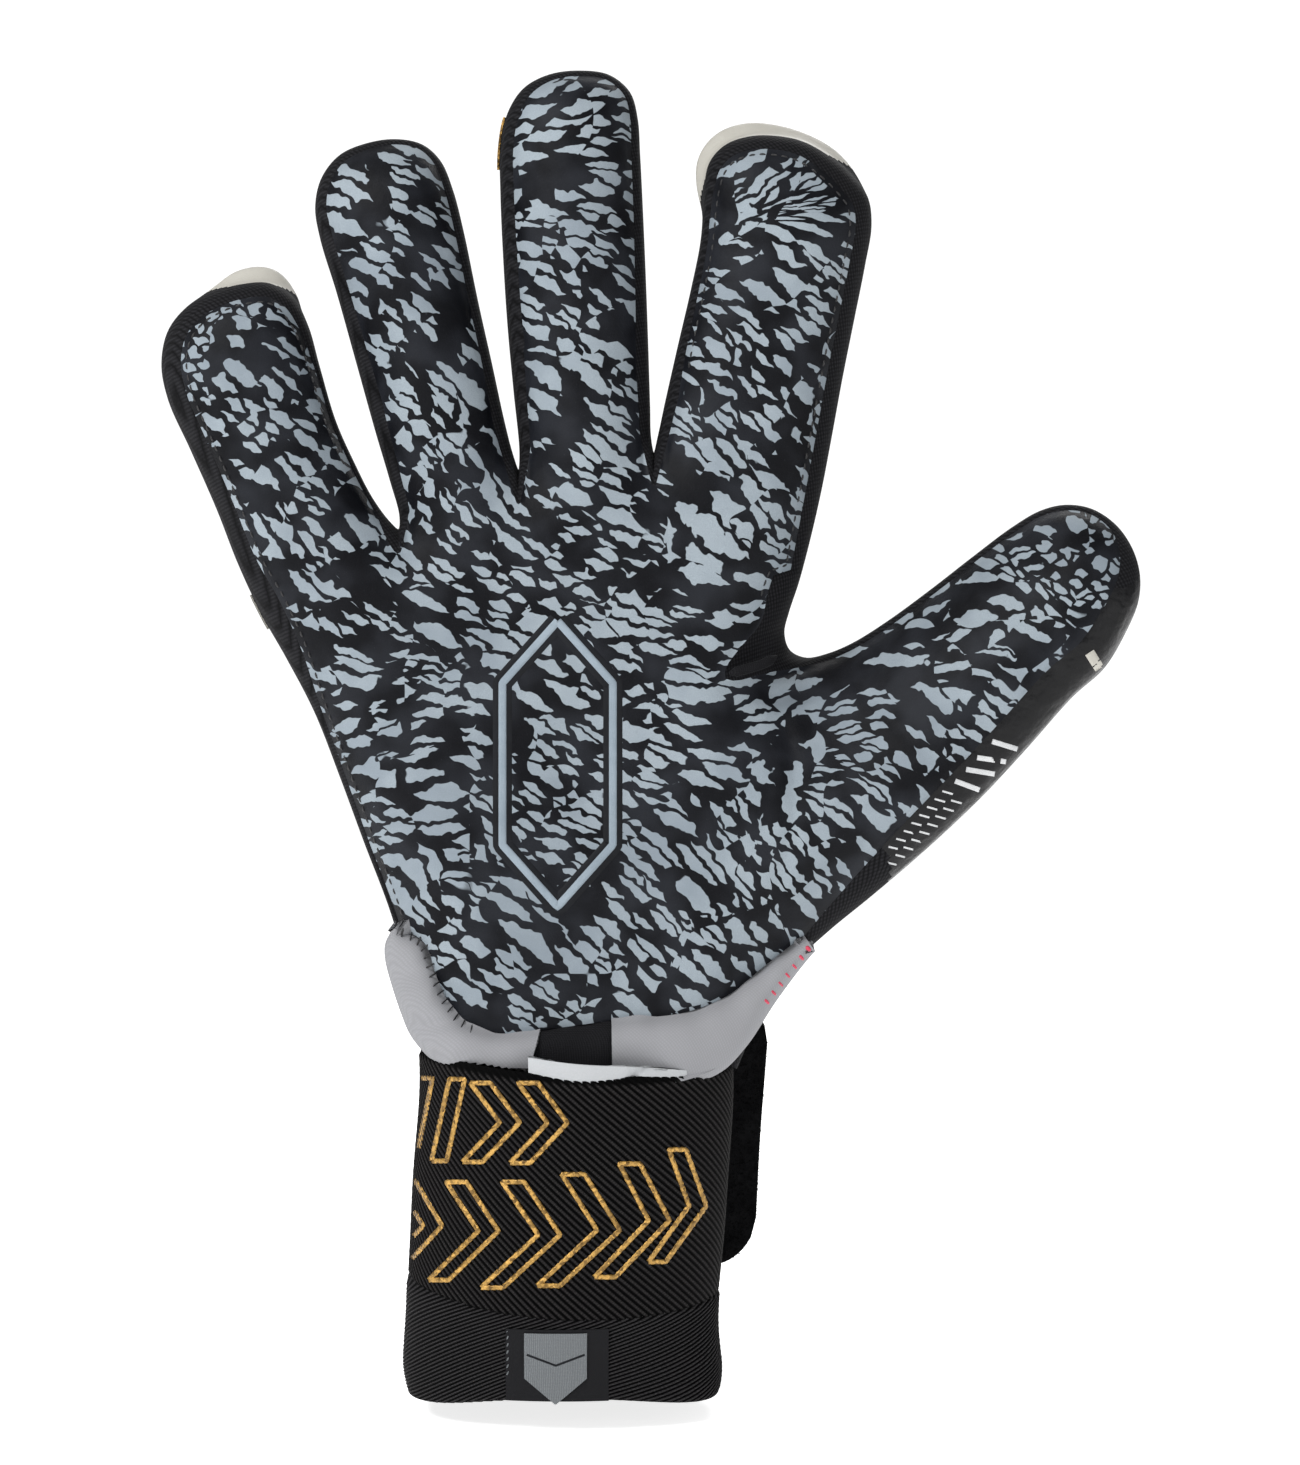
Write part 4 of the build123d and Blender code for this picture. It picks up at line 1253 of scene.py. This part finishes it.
def heel_surface(x_low, x_high, proud=1.0):
    """Grid of the padded roll between the palm's edge and the strap over a range of X."""
    upper, lower = heel_line(HEEL_EDGE), heel_line(HEEL_BOTTOM)
    keep = (lower[:, 0] >= x_low) & (lower[:, 0] <= x_high)
    upper, lower = upper[keep], lower[keep]
    low_x = lower[:, 0]
    sides = [-37, -35, -30, -24, -12, 24, 33, 39, 45, 53]
    y_low = -np.interp(low_x, sides, [1, 1, 3, 9, 14.5, 15.5, 11, 8, 4, 1])
    crown = -np.interp(low_x, [-37, -33, -24, 0, 24, 39, 53], [10, 14, 17.4, 17.8, 17.4, 14.5, 10.5])
    column = np.arange(HEEL_COLUMNS)
    ends = np.minimum(column, column[::-1])[keep]
    y_low = y_low + (crown - y_low) * 0.75 * np.exp(-ends / 5)
    grid = []
    for v in np.linspace(0, 1, 26):
        turn = v * math.pi / 2
        xz = upper + (lower - upper) * math.sin(turn) ** 1.05
        length = np.hypot(*(lower - upper).T)
        y = y_low + (crown * proud - y_low) * math.cos(turn) ** 0.85
        y = y + 4.6 * np.exp(-v * length / 1.3)
        pucker = 0.28 * np.sin(np.arange(len(y)) * 0.55) * math.exp(-v * 5)
        pucker = pucker + 0.2 * np.sin(low_x / 3.1 + v * 5)
        fold = 1.3 * np.exp(-(((low_x + 27.5 + 7 * v) / 1.3) ** 2))
        fold = fold + np.exp(-(((low_x + 34.6 + 1.5 * v) / 0.9) ** 2))
        y = y + pucker + fold * math.sin(v * math.pi) ** 0.5
        grid.append(np.stack([xz[:, 0], y, xz[:, 1]], axis=-1))
    # The top is moved along the lines of sight with the palm's edge, so that no gap shows between them.
    grid = np.array(grid)
    shown = true_place(grid.reshape(-1, 3)).reshape(grid.shape)
    grid += (shown - grid) * np.linspace(1, 0, len(grid))[:, None, None]
    inward = (upper - lower) / length[:, None]

    def turned_in(row, far, back):
        return row + np.column_stack([inward[:, 0] * far, back + 0 * length, inward[:, 1] * far])

    behind = [turned_in(grid[-1], far, far * 0.5) for far in (1.2, 2.8, 4.6)]
    return np.concatenate([turned_in(grid[0], 2.0, 2.4)[None], grid, behind])


TAB = (-7.5, 11.5)
for side_name, span in (("left", (-40, TAB[0] + 0.6)), ("right", (TAB[1] - 0.6, 60))):
    roll = grid_piece(f"heel_roll_{side_name}", heel_surface(*span), heel_cloth, 2.4, flip=True)
    wrist_piece(roll, "heel_fabric_grey", f"heel_binding_{side_name}")
tab = grid_piece("heel_tab_patch", heel_surface(*TAB, proud=0.93), tab_cloth, 2.0, flip=True)
wrist_piece(tab, "elastic_black", "heel_tab")


def strap_top_at(x):
    """Height of the strap's upper edge on the palm side."""
    heights = [76.4, 75.0, 71.2, 69.5, 67.7, 69.2, 71.6]
    return np.interp(x, [-29.8, -24.0, -16.8, -8.4, 8.4, 29.4, 36.8], heights)


def care_label_grid():
    """A folded satin label that stands up out of the strap in front of the heel."""
    rows = []
    for z in np.linspace(66.4, 77.4, 18):
        x = np.linspace(-8.8, 30.5, 60)
        top = 74.6 - 3.2 * (x + 8.8) / 29.4 - 0.25 * np.cos(x / 5)
        height = np.minimum(z, top)
        above = np.maximum(height - strap_top_at(x), 0)
        curve = np.sqrt(np.maximum(1 - (x / (CUFF_A + 1.5)) ** 2, 0.02))
        y = -(CUFF_B + 1.5) * curve - 0.25 * above - 0.3 * np.sin(x / 3.7 + z / 5)
        fold = 0.7 * np.exp(-(((x - 10 - (z - 68) * 0.7) / 1.0) ** 2))
        rows.append(lean_wrist(x, y + fold, height + (z - height) * 0.02))
    return np.array(rows)


care = grid_piece("care_label_satin", care_label_grid(), satin, 0.35)
wrist_piece(care, "label_white", "care_label")


# ---- closure flap

# X where the flap is sewn on and where it leaves the wrist, and X and Y of its free end.
FLAP_SEWN, FLAP_LEAVES, FLAP_FREE = -24.0, 8.0, (44.6, 27.0)
FLAP_LOW, FLAP_HIGH, FLAP_CORNER = 27.5, 82.5, 11.0  # lowest and highest Z, and how far a corner rounds
FLAP_SHOULDER = 71.0  # highest Z where it lies on the wrist


def flap_line(grow):
    """Places in X and Y along the flap, from its sewn end round the wrist to its free end."""
    x = np.linspace(FLAP_SEWN, FLAP_LEAVES, 40)
    wrapped = np.column_stack([x, (CUFF_B + grow) * np.sqrt(1 - (x / (CUFF_A + grow)) ** 2)])
    end = np.array([FLAP_FREE[0], FLAP_FREE[1] + grow - 4.9])
    t = np.linspace(0, 1, 60)[1:, None]
    sag = np.column_stack([0 * t, 1.1 * np.sin(np.pi * t)])
    return resample(np.vstack([wrapped, wrapped[-1] + (end - wrapped[-1]) * t + sag]), 0.9)


def flap_span(x):
    """Lowest and highest Z of the flap at X: it reaches lower at its free end."""
    to_end = np.clip(FLAP_FREE[0] - x, 0, FLAP_CORNER)
    corner = FLAP_CORNER - np.sqrt(np.maximum(FLAP_CORNER**2 - (FLAP_CORNER - to_end) ** 2, 0))
    shoulder = FLAP_SHOULDER + (FLAP_HIGH - FLAP_SHOULDER) * smooth(12.5, 20, x)
    return FLAP_LOW - 4.0 * smooth(22, 40, x) + corner, shoulder - corner * 0.9 + 0 * x


def flap_grid(grow):
    """Grid of the flap's outer face, a little wavy and leaning towards its free end."""
    line = flap_line(grow)
    low, high = flap_span(line[:, 0])
    grid = []
    free = smooth(14, 40, line[:, 0])
    for v in np.linspace(0, 1, 44):
        z = low + (high - low) * v
        wave = 0.35 * np.sin(z / 8 + line[:, 0] / 11) * smooth(10, 30, line[:, 0])
        slant = (z - 55) / 28 * 1.8 * free - 1.2 * free
        grid.append(np.stack([line[:, 0] + wave * 0.4 + slant, line[:, 1] + wave, z], axis=-1))
    return np.array(grid)


flap = grid_piece("closure_flap_tape", flap_grid(7.0), pile, 2.0, flip=True)
wrist_piece(flap, "loop_pile", "closure_flap", body="closure_flap")


FIBRE_LONG, FIBRE_RADIUS = 0.9, 0.07


def fibres(name, grid, count, material):
    """Short curled fibres standing out of a grid of places towards the front."""
    rows, columns = grid.shape[:2]
    r, c = rng.uniform(0, rows - 1.01, count), rng.uniform(0, columns - 1.01, count)
    r0, c0 = r.astype(int), c.astype(int)
    fr, fc = (r - r0)[:, None], (c - c0)[:, None]
    base = (grid[r0, c0] * (1 - fc) + grid[r0, c0 + 1] * fc) * (1 - fr)
    base += (grid[r0 + 1, c0] * (1 - fc) + grid[r0 + 1, c0 + 1] * fc) * fr
    way = np.array([[0.1, -1.0, 0.0]]) + rng.normal(0, 0.55, (count, 3))
    way /= np.linalg.norm(way, axis=1)[:, None]
    bend = rng.normal(0, 0.35, (count, 3))
    size = (FIBRE_LONG * rng.uniform(0.5, 1.2, count))[:, None]
    side_a = np.cross(way, [0.3, 0.2, 0.9])
    side_a /= np.linalg.norm(side_a, axis=1)[:, None]
    side_b = np.cross(way, side_a)
    verts = []
    for at, thick in ((0.0, 1.0), (0.55, 0.8), (1.0, 0.35)):
        centre = base - way * 0.15 + (way * at + bend * at * at * 0.6) * size
        for k in range(3):
            turn = math.tau * k / 3
            across = side_a * math.cos(turn) + side_b * math.sin(turn)
            verts.append(centre + across * FIBRE_RADIUS * thick)
    verts = np.array(verts).transpose(1, 0, 2).reshape(-1, 3)
    faces = [face for k in range(count) for face in tube_faces(3, 3, 9 * k)]
    return new_object(name, verts, faces, material)


pile_grid = flap_grid(5.0)
free_part = pile_grid[:, pile_grid[0, :, 0] > 27]
tufts = fibres("flap_pile_fibres", free_part, 5200, pile)
wrist_piece(tufts, "loop_pile", body="closure_flap")


KNOB_PITCH = 1.3  # half the spacing of the knobs and hooks along X and Z


def round_patch(name, x_range, z_range, grow, material, thickness, rows, columns, relief=0.0):
    """A patch on the back of the wrist that follows its curve, with raised knobs or hooks."""
    x = np.linspace(*x_range, columns)
    grid = []
    for z in np.linspace(*z_range, rows):
        knob = relief * np.maximum(np.sin(x * math.pi / KNOB_PITCH) * math.sin(z * math.pi / KNOB_PITCH), 0)
        out = grow + knob
        grid.append(lean_wrist(x, (CUFF_B + out) * np.sqrt(1 - (x / (CUFF_A + grow)) ** 2), z))
    return grid_piece(name, np.array(grid), material, thickness, flip=True)


loop = round_patch("loop_patch_pile", (-20, 7), (26, 67), 3.4, pile, 0.8, 60, 90, 0.15)
wrist_piece(loop, "loop_pile", "loop_patch")
hooks = round_patch("hook_patch_tape", (-20, 7), (27, 67), 4.75, hook, 0.8, 60, 90, -0.15)
wrist_piece(hooks, "hook_tape", "hook_patch", body="closure_flap")
tape = round_patch("flap_seam_tape_strip", (-28.5, -24.5), (27, 71), 7.0, tab_cloth, 4.3, 40, 8)
wrist_piece(tape, "elastic_black", "flap_seam_tape")


# ---- palm print, stitches and small trim

palm_tree = tree_of("palm_latex_panel")


# Corners of the palm's upright pointed outline.
mark = [(-0.5, 164.0), (11.1, 151.0), (11.1, 117.0), (-0.5, 104.0), (-12.1, 117.0), (-12.1, 151.0)]
ground = trim("palm_emblem_ground", palm_tree, [mark], 4.9, 0.10, black_ink, 0.4, closed=True)
wrist_piece(ground, "emblem_print")
emblem = trim("palm_emblem_outline", palm_tree, [mark], 2.0, 0.28, ink, 0.5, closed=True)
wrist_piece(emblem, "emblem_print", "palm_emblem")


# Along a stitch: how far, how thick and how high its middle is, as shares of its length and radius.
STITCH = [(0.0, 0.35, -0.35), (0.16, 0.85, 0.1), (0.5, 1.0, 0.3), (0.84, 0.85, 0.1), (1.0, 0.35, -0.35)]


def capsules(name, stitches, radius, material):
    """Short rounded stitches, each between two places and with a normal, as one object."""
    verts, faces = [], []
    for a, b, n in stitches:
        along = (b - a) / max(np.linalg.norm(b - a), 1e-9)
        side = np.cross(along, n)
        up = np.cross(side, along)
        start = len(verts)
        for at, thick, lift in STITCH:
            centre = a + (b - a) * at + n * lift * radius
            for k in range(6):
                turn = math.tau * k / 6
                verts.append(centre + (side * math.cos(turn) + up * math.sin(turn)) * radius * thick)
        faces += tube_faces(len(STITCH), 6, start)
    return new_object(name, verts, faces, material)


# Distance of stitches from the seam, their length, and the step along the seam that they are placed by.
STITCH_INSET, STITCH_LONG, FINE = 1.2, 1.55, 0.2


def seam_stitches(name, panel, columns, part, pitch=2.3):
    """A row of stitches inside the front seam over a range of wall columns."""
    tree = tree_of(panel)
    first, last = columns
    seam = wall[0][first : last + 1][:, [0, 2]]
    line = resample(seam - side_normals(seam) * -STITCH_INSET, FINE)
    count = int(len(line) * FINE / pitch)
    stitches = []
    for k in range(count):
        i = int((k * pitch + 0.4) / FINE)
        j = min(i + int(STITCH_LONG / FINE), len(line) - 1)
        a, b = seen_at(tree, *line[i]), seen_at(tree, *line[j])
        if a is not None and b is not None and np.linalg.norm(b - a) <= STITCH_LONG * 2:
            stitches.append((a, b, np.array(tree.find_nearest(Vector((a + b) / 2))[1])))
    obj = capsules(name, stitches, 0.24, black_thread)
    attach(obj, part)


for name in ("index", "little"):
    (first, last), (start, end) = BASE_CUTS[name], MIDDLE_CUTS[name]
    seam_stitches(f"{name}_tip_stitches", f"{name}_tip_palm_side", (start, end), f"{name}_tip")
    outer = (end, last) if name == "index" else (first, start)
    seam_stitches(f"{name}_base_stitches", f"{name}_base_palm_side", outer, f"{name}_base")
seam_stitches("palm_side_stitches", "palm_latex_panel", (HEEL_ENDS[0], BASE_CUTS["little"][0]), "hand")
web_seam = (BASE_CUTS["index"][1], WEB_COLUMNS[0] + 4)
seam_stitches("palm_web_stitches", "palm_latex_panel", web_seam, "hand", 2.1)


def sewn_cord(name, rows, radius, material, slot, sides=10):
    """A thin padded cord along rows of X, Z and Y, tapered at both ends, that rides on the hand."""
    path = true_place(resample(spline(rows, 16), 0.35)[:, [0, 2, 1]])
    way = np.gradient(path, axis=0)
    way /= np.linalg.norm(way, axis=1)[:, None]
    turns = math.tau * np.arange(sides) / sides
    verts = []
    for k, (at, along) in enumerate(zip(path, way)):
        side = np.cross(along, (0.0, -1.0, 0.0))
        side /= max(np.linalg.norm(side), 1e-9)
        up = np.cross(side, along)
        thick = radius * min(1.0, 0.35 + 0.65 * min(k, len(path) - 1 - k) / 4)
        verts += [at + (side * math.cos(t) + up * math.sin(t)) * thick for t in turns]
    return wrist_piece(new_object(name, verts, tube_faces(len(path), sides), material), slot)


web_line = [(35.6, 153.0, -12.6), (39.0, 153.9, -12.2), (43.0, 155.2, -11.0), (45.4, 156.6, -9.0)]
sewn_cord("web_binding_cord", web_line, 1.05, tab_cloth, "knit_black")


# ---- back of the hand


def behind_at(tree, x, z):
    """Where a surface's back face lies at X and Z, looking from behind."""
    found = tree.ray_cast(Vector((x, 60, z)), Vector((0, -1, 0)))
    return found[0][1] if found[0] is not None else None


back_tree = tree_of("backhand_neoprene")


def back_pad(name, x_range, z_of, height, *nodes, rows=26, grooves=()):
    """A moulded pad on the back of the hand with rounded edges and sunk grooves."""
    grid, across = [], x_range[1] - x_range[0]
    for v in np.linspace(0, 1, rows):
        line = []
        for x in np.linspace(*x_range, 120):
            u = (x - x_range[0]) / across
            low, high = z_of(x)
            z = low + (high - low) * v
            at_edge = min(u * across, (1 - u) * across, v * (high - low), (1 - v) * (high - low))
            swell = height * (1 - (1 - min(at_edge / 3.0, 1)) ** 2.2) ** 0.5
            for at in grooves:
                swell -= 0.55 * height * math.exp(-(((x - at - (z - 166) * 0.12) / 0.8) ** 2))
            swell -= 0.3 * math.exp(-(((abs(v - 0.5) - 0.22) / 0.035) ** 2))
            line.append((x, behind_at(back_tree, x, z) + max(swell, 0.15), z))
        grid.append(line)
    obj = grid_piece(name, np.array(grid), rubber, 1.6, flip=True)
    return wrist_piece(obj, "badge_rubber", *nodes)


def knuckle_span(x):
    """Lower and upper edges of the punch pad, which follow the knuckles."""
    arch = 5.0 * math.cos((x + 3) / 42) - 5.0
    return 156.0 + arch * 1.3, 178.0 + arch * 1.3


def rib_span(low):
    """Lower and upper edges of a rib on the back of the hand, which is a flat V."""
    return lambda x: (low + 0.10 * abs(x), low + 5.6 + 0.10 * abs(x))


back_pad("knuckle_punch_pad", (-42.0, 33.0), knuckle_span, 2.2, "knuckle_pad", grooves=(-24, -5, 14))
for k, low in enumerate((108.0, 118.5, 129.0)):
    back_pad(f"backhand_rib_{k + 1}", (-26.0 + 2.5 * k, 30.0 - 1.5 * k), rib_span(low), 1.0, rows=12)
badge = round_patch("flap_badge_plate", (-16, 4), (38, 70), 8.6, rubber, 1.7, 40, 40)
wrist_piece(badge, "badge_rubber", "flap_badge", body="closure_flap")


# ---- small marks seen at the edges


seam_reach = front_reaches()


def on_band(column, share):
    """A place on the thumb's black side at a column, a share of the way from the silhouette to the seam."""
    return tuple(edge[round(column)] + seam_reach[round(column)] * share)


thumb_sides = {"thumb_base": "thumb_base_back", "thumb_tip": "thumb_tip_back", "hand": "thumb_side_latex"}
peak = nearest(97.0, 136.4)
stripes = [[on_band(peak + 3.2 * k, 0.16), on_band(peak + 3.2 * k + 2.4, 0.84)] for k in range(4)]
bars = [[on_band(peak + 14 + 2 * k, low), on_band(peak + 15.4 + 2 * k, low + 0.28)]
        for k in range(13) for low in (0.25, 0.62)]
for body, panel in thumb_sides.items():
    tree = tree_of(panel)
    for kind, lines_there, width in (("stripes", stripes, 1.3), ("bars", bars, 0.5)):
        shown = [line for line in lines_there if any(seen_at(tree, *p) is not None for p in line)]
        if shown:
            marks = trim(f"{panel}_white_{kind}", tree, shown, width, 0.06, white_ink, 0.2, step=0.3)
            attach(marks, body)
tip_side = tree_of("thumb_tip_back")
band_line = [[(111.2, 157.4), (113.6, 153.6)]]
band = trim("thumb_tip_white_band", tip_side, band_line, 2.6, 0.12, white_latex, 0.4)
attach(band, "thumb_tip")


def wall_ribbon(name, columns, lift, material, part):
    """A thin strip laid over the back half of the wall."""
    verts, quads, normals = wall_part([columns], FRONT_ROWS - 1, ROWS - 3)
    verts = verts + normals * lift
    obj = close_piece(name, verts, quads, normals, material, lift + 0.3)
    attach(obj, part)
    return obj


strip = (nearest(-12.5, 259.0), nearest(-11.6, 269.5))
wall_ribbon("middle_tip_gold_tab", strip, 0.55, gold, "middle_tip")
vent = (nearest(-60.9, 162.5), nearest(-64.8, 170.0))
wall_ribbon("little_side_vent_lining", vent, 0.45, white_latex, "hand")



def sewn_row(name, panels, pairs, radius, thread, slot):
    """Stitches between pairs of places seen from the front on some pieces, which ride on the hand."""
    tree = tree_of(*panels)
    found = [(seen_at(tree, *a), seen_at(tree, *b)) for a, b in pairs]
    stitches = [(a, b, toward_eye(a)) for a, b in found if a is not None and b is not None]
    wrist_piece(capsules(name, stitches, radius, thread), slot)


spots = [(42.9 + 1.45 * k, 84.6 + 1.85 * k) for k in range(7)]
pairs = [((x, z), (x + 1.0, z - 1.0)) for x, z in spots]
sewn_row("heel_red_stitches", ["heel_roll_right"], pairs, 0.5, red_thread, "heel_fabric_grey")
seam = resample(spline(HEEL_EDGE, 12), 0.5)
outward = side_normals(seam)
outward *= np.sign(outward[0] @ (-1, -1))
spots = [k for k in range(3, len(seam), 4) if seam[k, 0] < -17]
pairs = [(seam[k] - outward[k] * 0.7, seam[k + 1] + outward[k] * 1.3) for k in spots]
sewn_row(
    "heel_whip_stitches", ["palm_latex_panel", "heel_roll_left"], pairs, 0.22, black_thread, "elastic_black"
)
fold_line = [[(-7.0, 9.9), (-0.9, 7.6), (5.2, 9.9)]]
label_print = tree_of("cuff_label_pentagon")
split = trim("cuff_label_fold_line", label_print, fold_line, 0.55, 0.05, black_ink, 0.2, step=0.3)
wrist_piece(split, "label_black")
pairs = [((-11.2, 6.2 + 1.5 * k - 0.6), (-10.8, 6.2 + 1.5 * k + 0.2)) for k in range(9)]
sewn_row("cuff_label_stitches", ["cuff_label_patch"], pairs, 0.16, grey_thread, "label_grey")


# ---- floor, light and camera


FLOOR_Z, FLOOR_RADIUS = -0.0015, 8


def studio():
    """A plain white floor and white surroundings, which light the glove less than they show."""
    p = Paint("paper", Roughness=0.95, Specular_IOR_Level=0.0)
    tone = p.noise(p.node("TexCoord", "Object"), 2.0, 2.0)
    p.set(Base_Color=p.mix(tone, (0.90, 0.90, 0.90), (0.94, 0.94, 0.94)))
    p.set(Emission_Color=(1.0, 1.0, 1.0), Emission_Strength=0.8)
    angles, radii = ROUND[:-1:60], np.linspace(0.4, FLOOR_RADIUS, 12)
    verts, faces, count = [(0.0, 0.0, FLOOR_Z)], [], len(angles)
    for radius in radii:
        verts += [(radius * math.cos(a), radius * math.sin(a), FLOOR_Z) for a in angles]
    faces += [(0, 1 + i, 1 + (i + 1) % count) for i in range(count)]
    faces += [tuple(1 + i for i in f) for f in grid_faces(len(radii), count, closed=True)]
    mesh = bpy.data.meshes.new("floor")
    mesh.from_pydata(verts, [], faces)
    mesh.materials.append(p.material)
    floor = bpy.data.objects.new("floor", mesh)
    bpy.context.scene.collection.objects.link(floor)
    world = bpy.data.worlds.new("studio")
    bpy.context.scene.world = world
    world.use_nodes = True
    nodes, links = world.node_tree.nodes, world.node_tree.links
    sky = nodes["Background"]
    sky.inputs["Color"].default_value = (1.0, 1.0, 1.0, 1.0)
    seen = nodes.new("ShaderNodeLightPath")
    level = nodes.new("ShaderNodeMapRange")
    level.inputs["To Min"].default_value, level.inputs["To Max"].default_value = 0.27, 1.1
    links.new(seen.outputs["Is Camera Ray"], level.inputs["Value"])
    links.new(level.outputs[0], sky.inputs["Strength"])


def area_light(name, place, size, energy, target=(0.01, 0.0, 0.14)):
    light = bpy.data.lights.new(name, "AREA")
    light.shape, light.size, light.energy = "DISK", size, energy
    obj = bpy.data.objects.new(name, light)
    obj.location = place
    obj.rotation_euler = (Vector(target) - Vector(place)).to_track_quat("-Z", "Y").to_euler()
    bpy.context.scene.collection.objects.link(obj)


studio()
area_light("key", (-0.70, -0.70, 0.95), 0.5, 14)
area_light("fill", (0.9, -1.0, 0.35), 0.9, 2.5)
area_light("back", (0.3, 1.0, 1.0), 0.7, 8)
bpy.context.scene.view_settings.view_transform = "Standard"

FIELD = 0.3077  # height of the view in metres at the middle plane of the glove
SENSOR = 36.0
camera = bpy.data.cameras.new("camera")
camera.sensor_fit, camera.sensor_height = "VERTICAL", SENSOR
camera.lens = SENSOR * VIEW_DISTANCE * MM / FIELD
camera.clip_start, camera.clip_end = 0.05, 20.0
eye = bpy.data.objects.new("camera", camera)
eye.location = (VIEW_X * MM, -VIEW_DISTANCE * MM, VIEW_Z * MM)
eye.rotation_euler = (math.pi / 2, 0, 0)
bpy.context.scene.collection.objects.link(eye)
bpy.context.scene.camera = eye
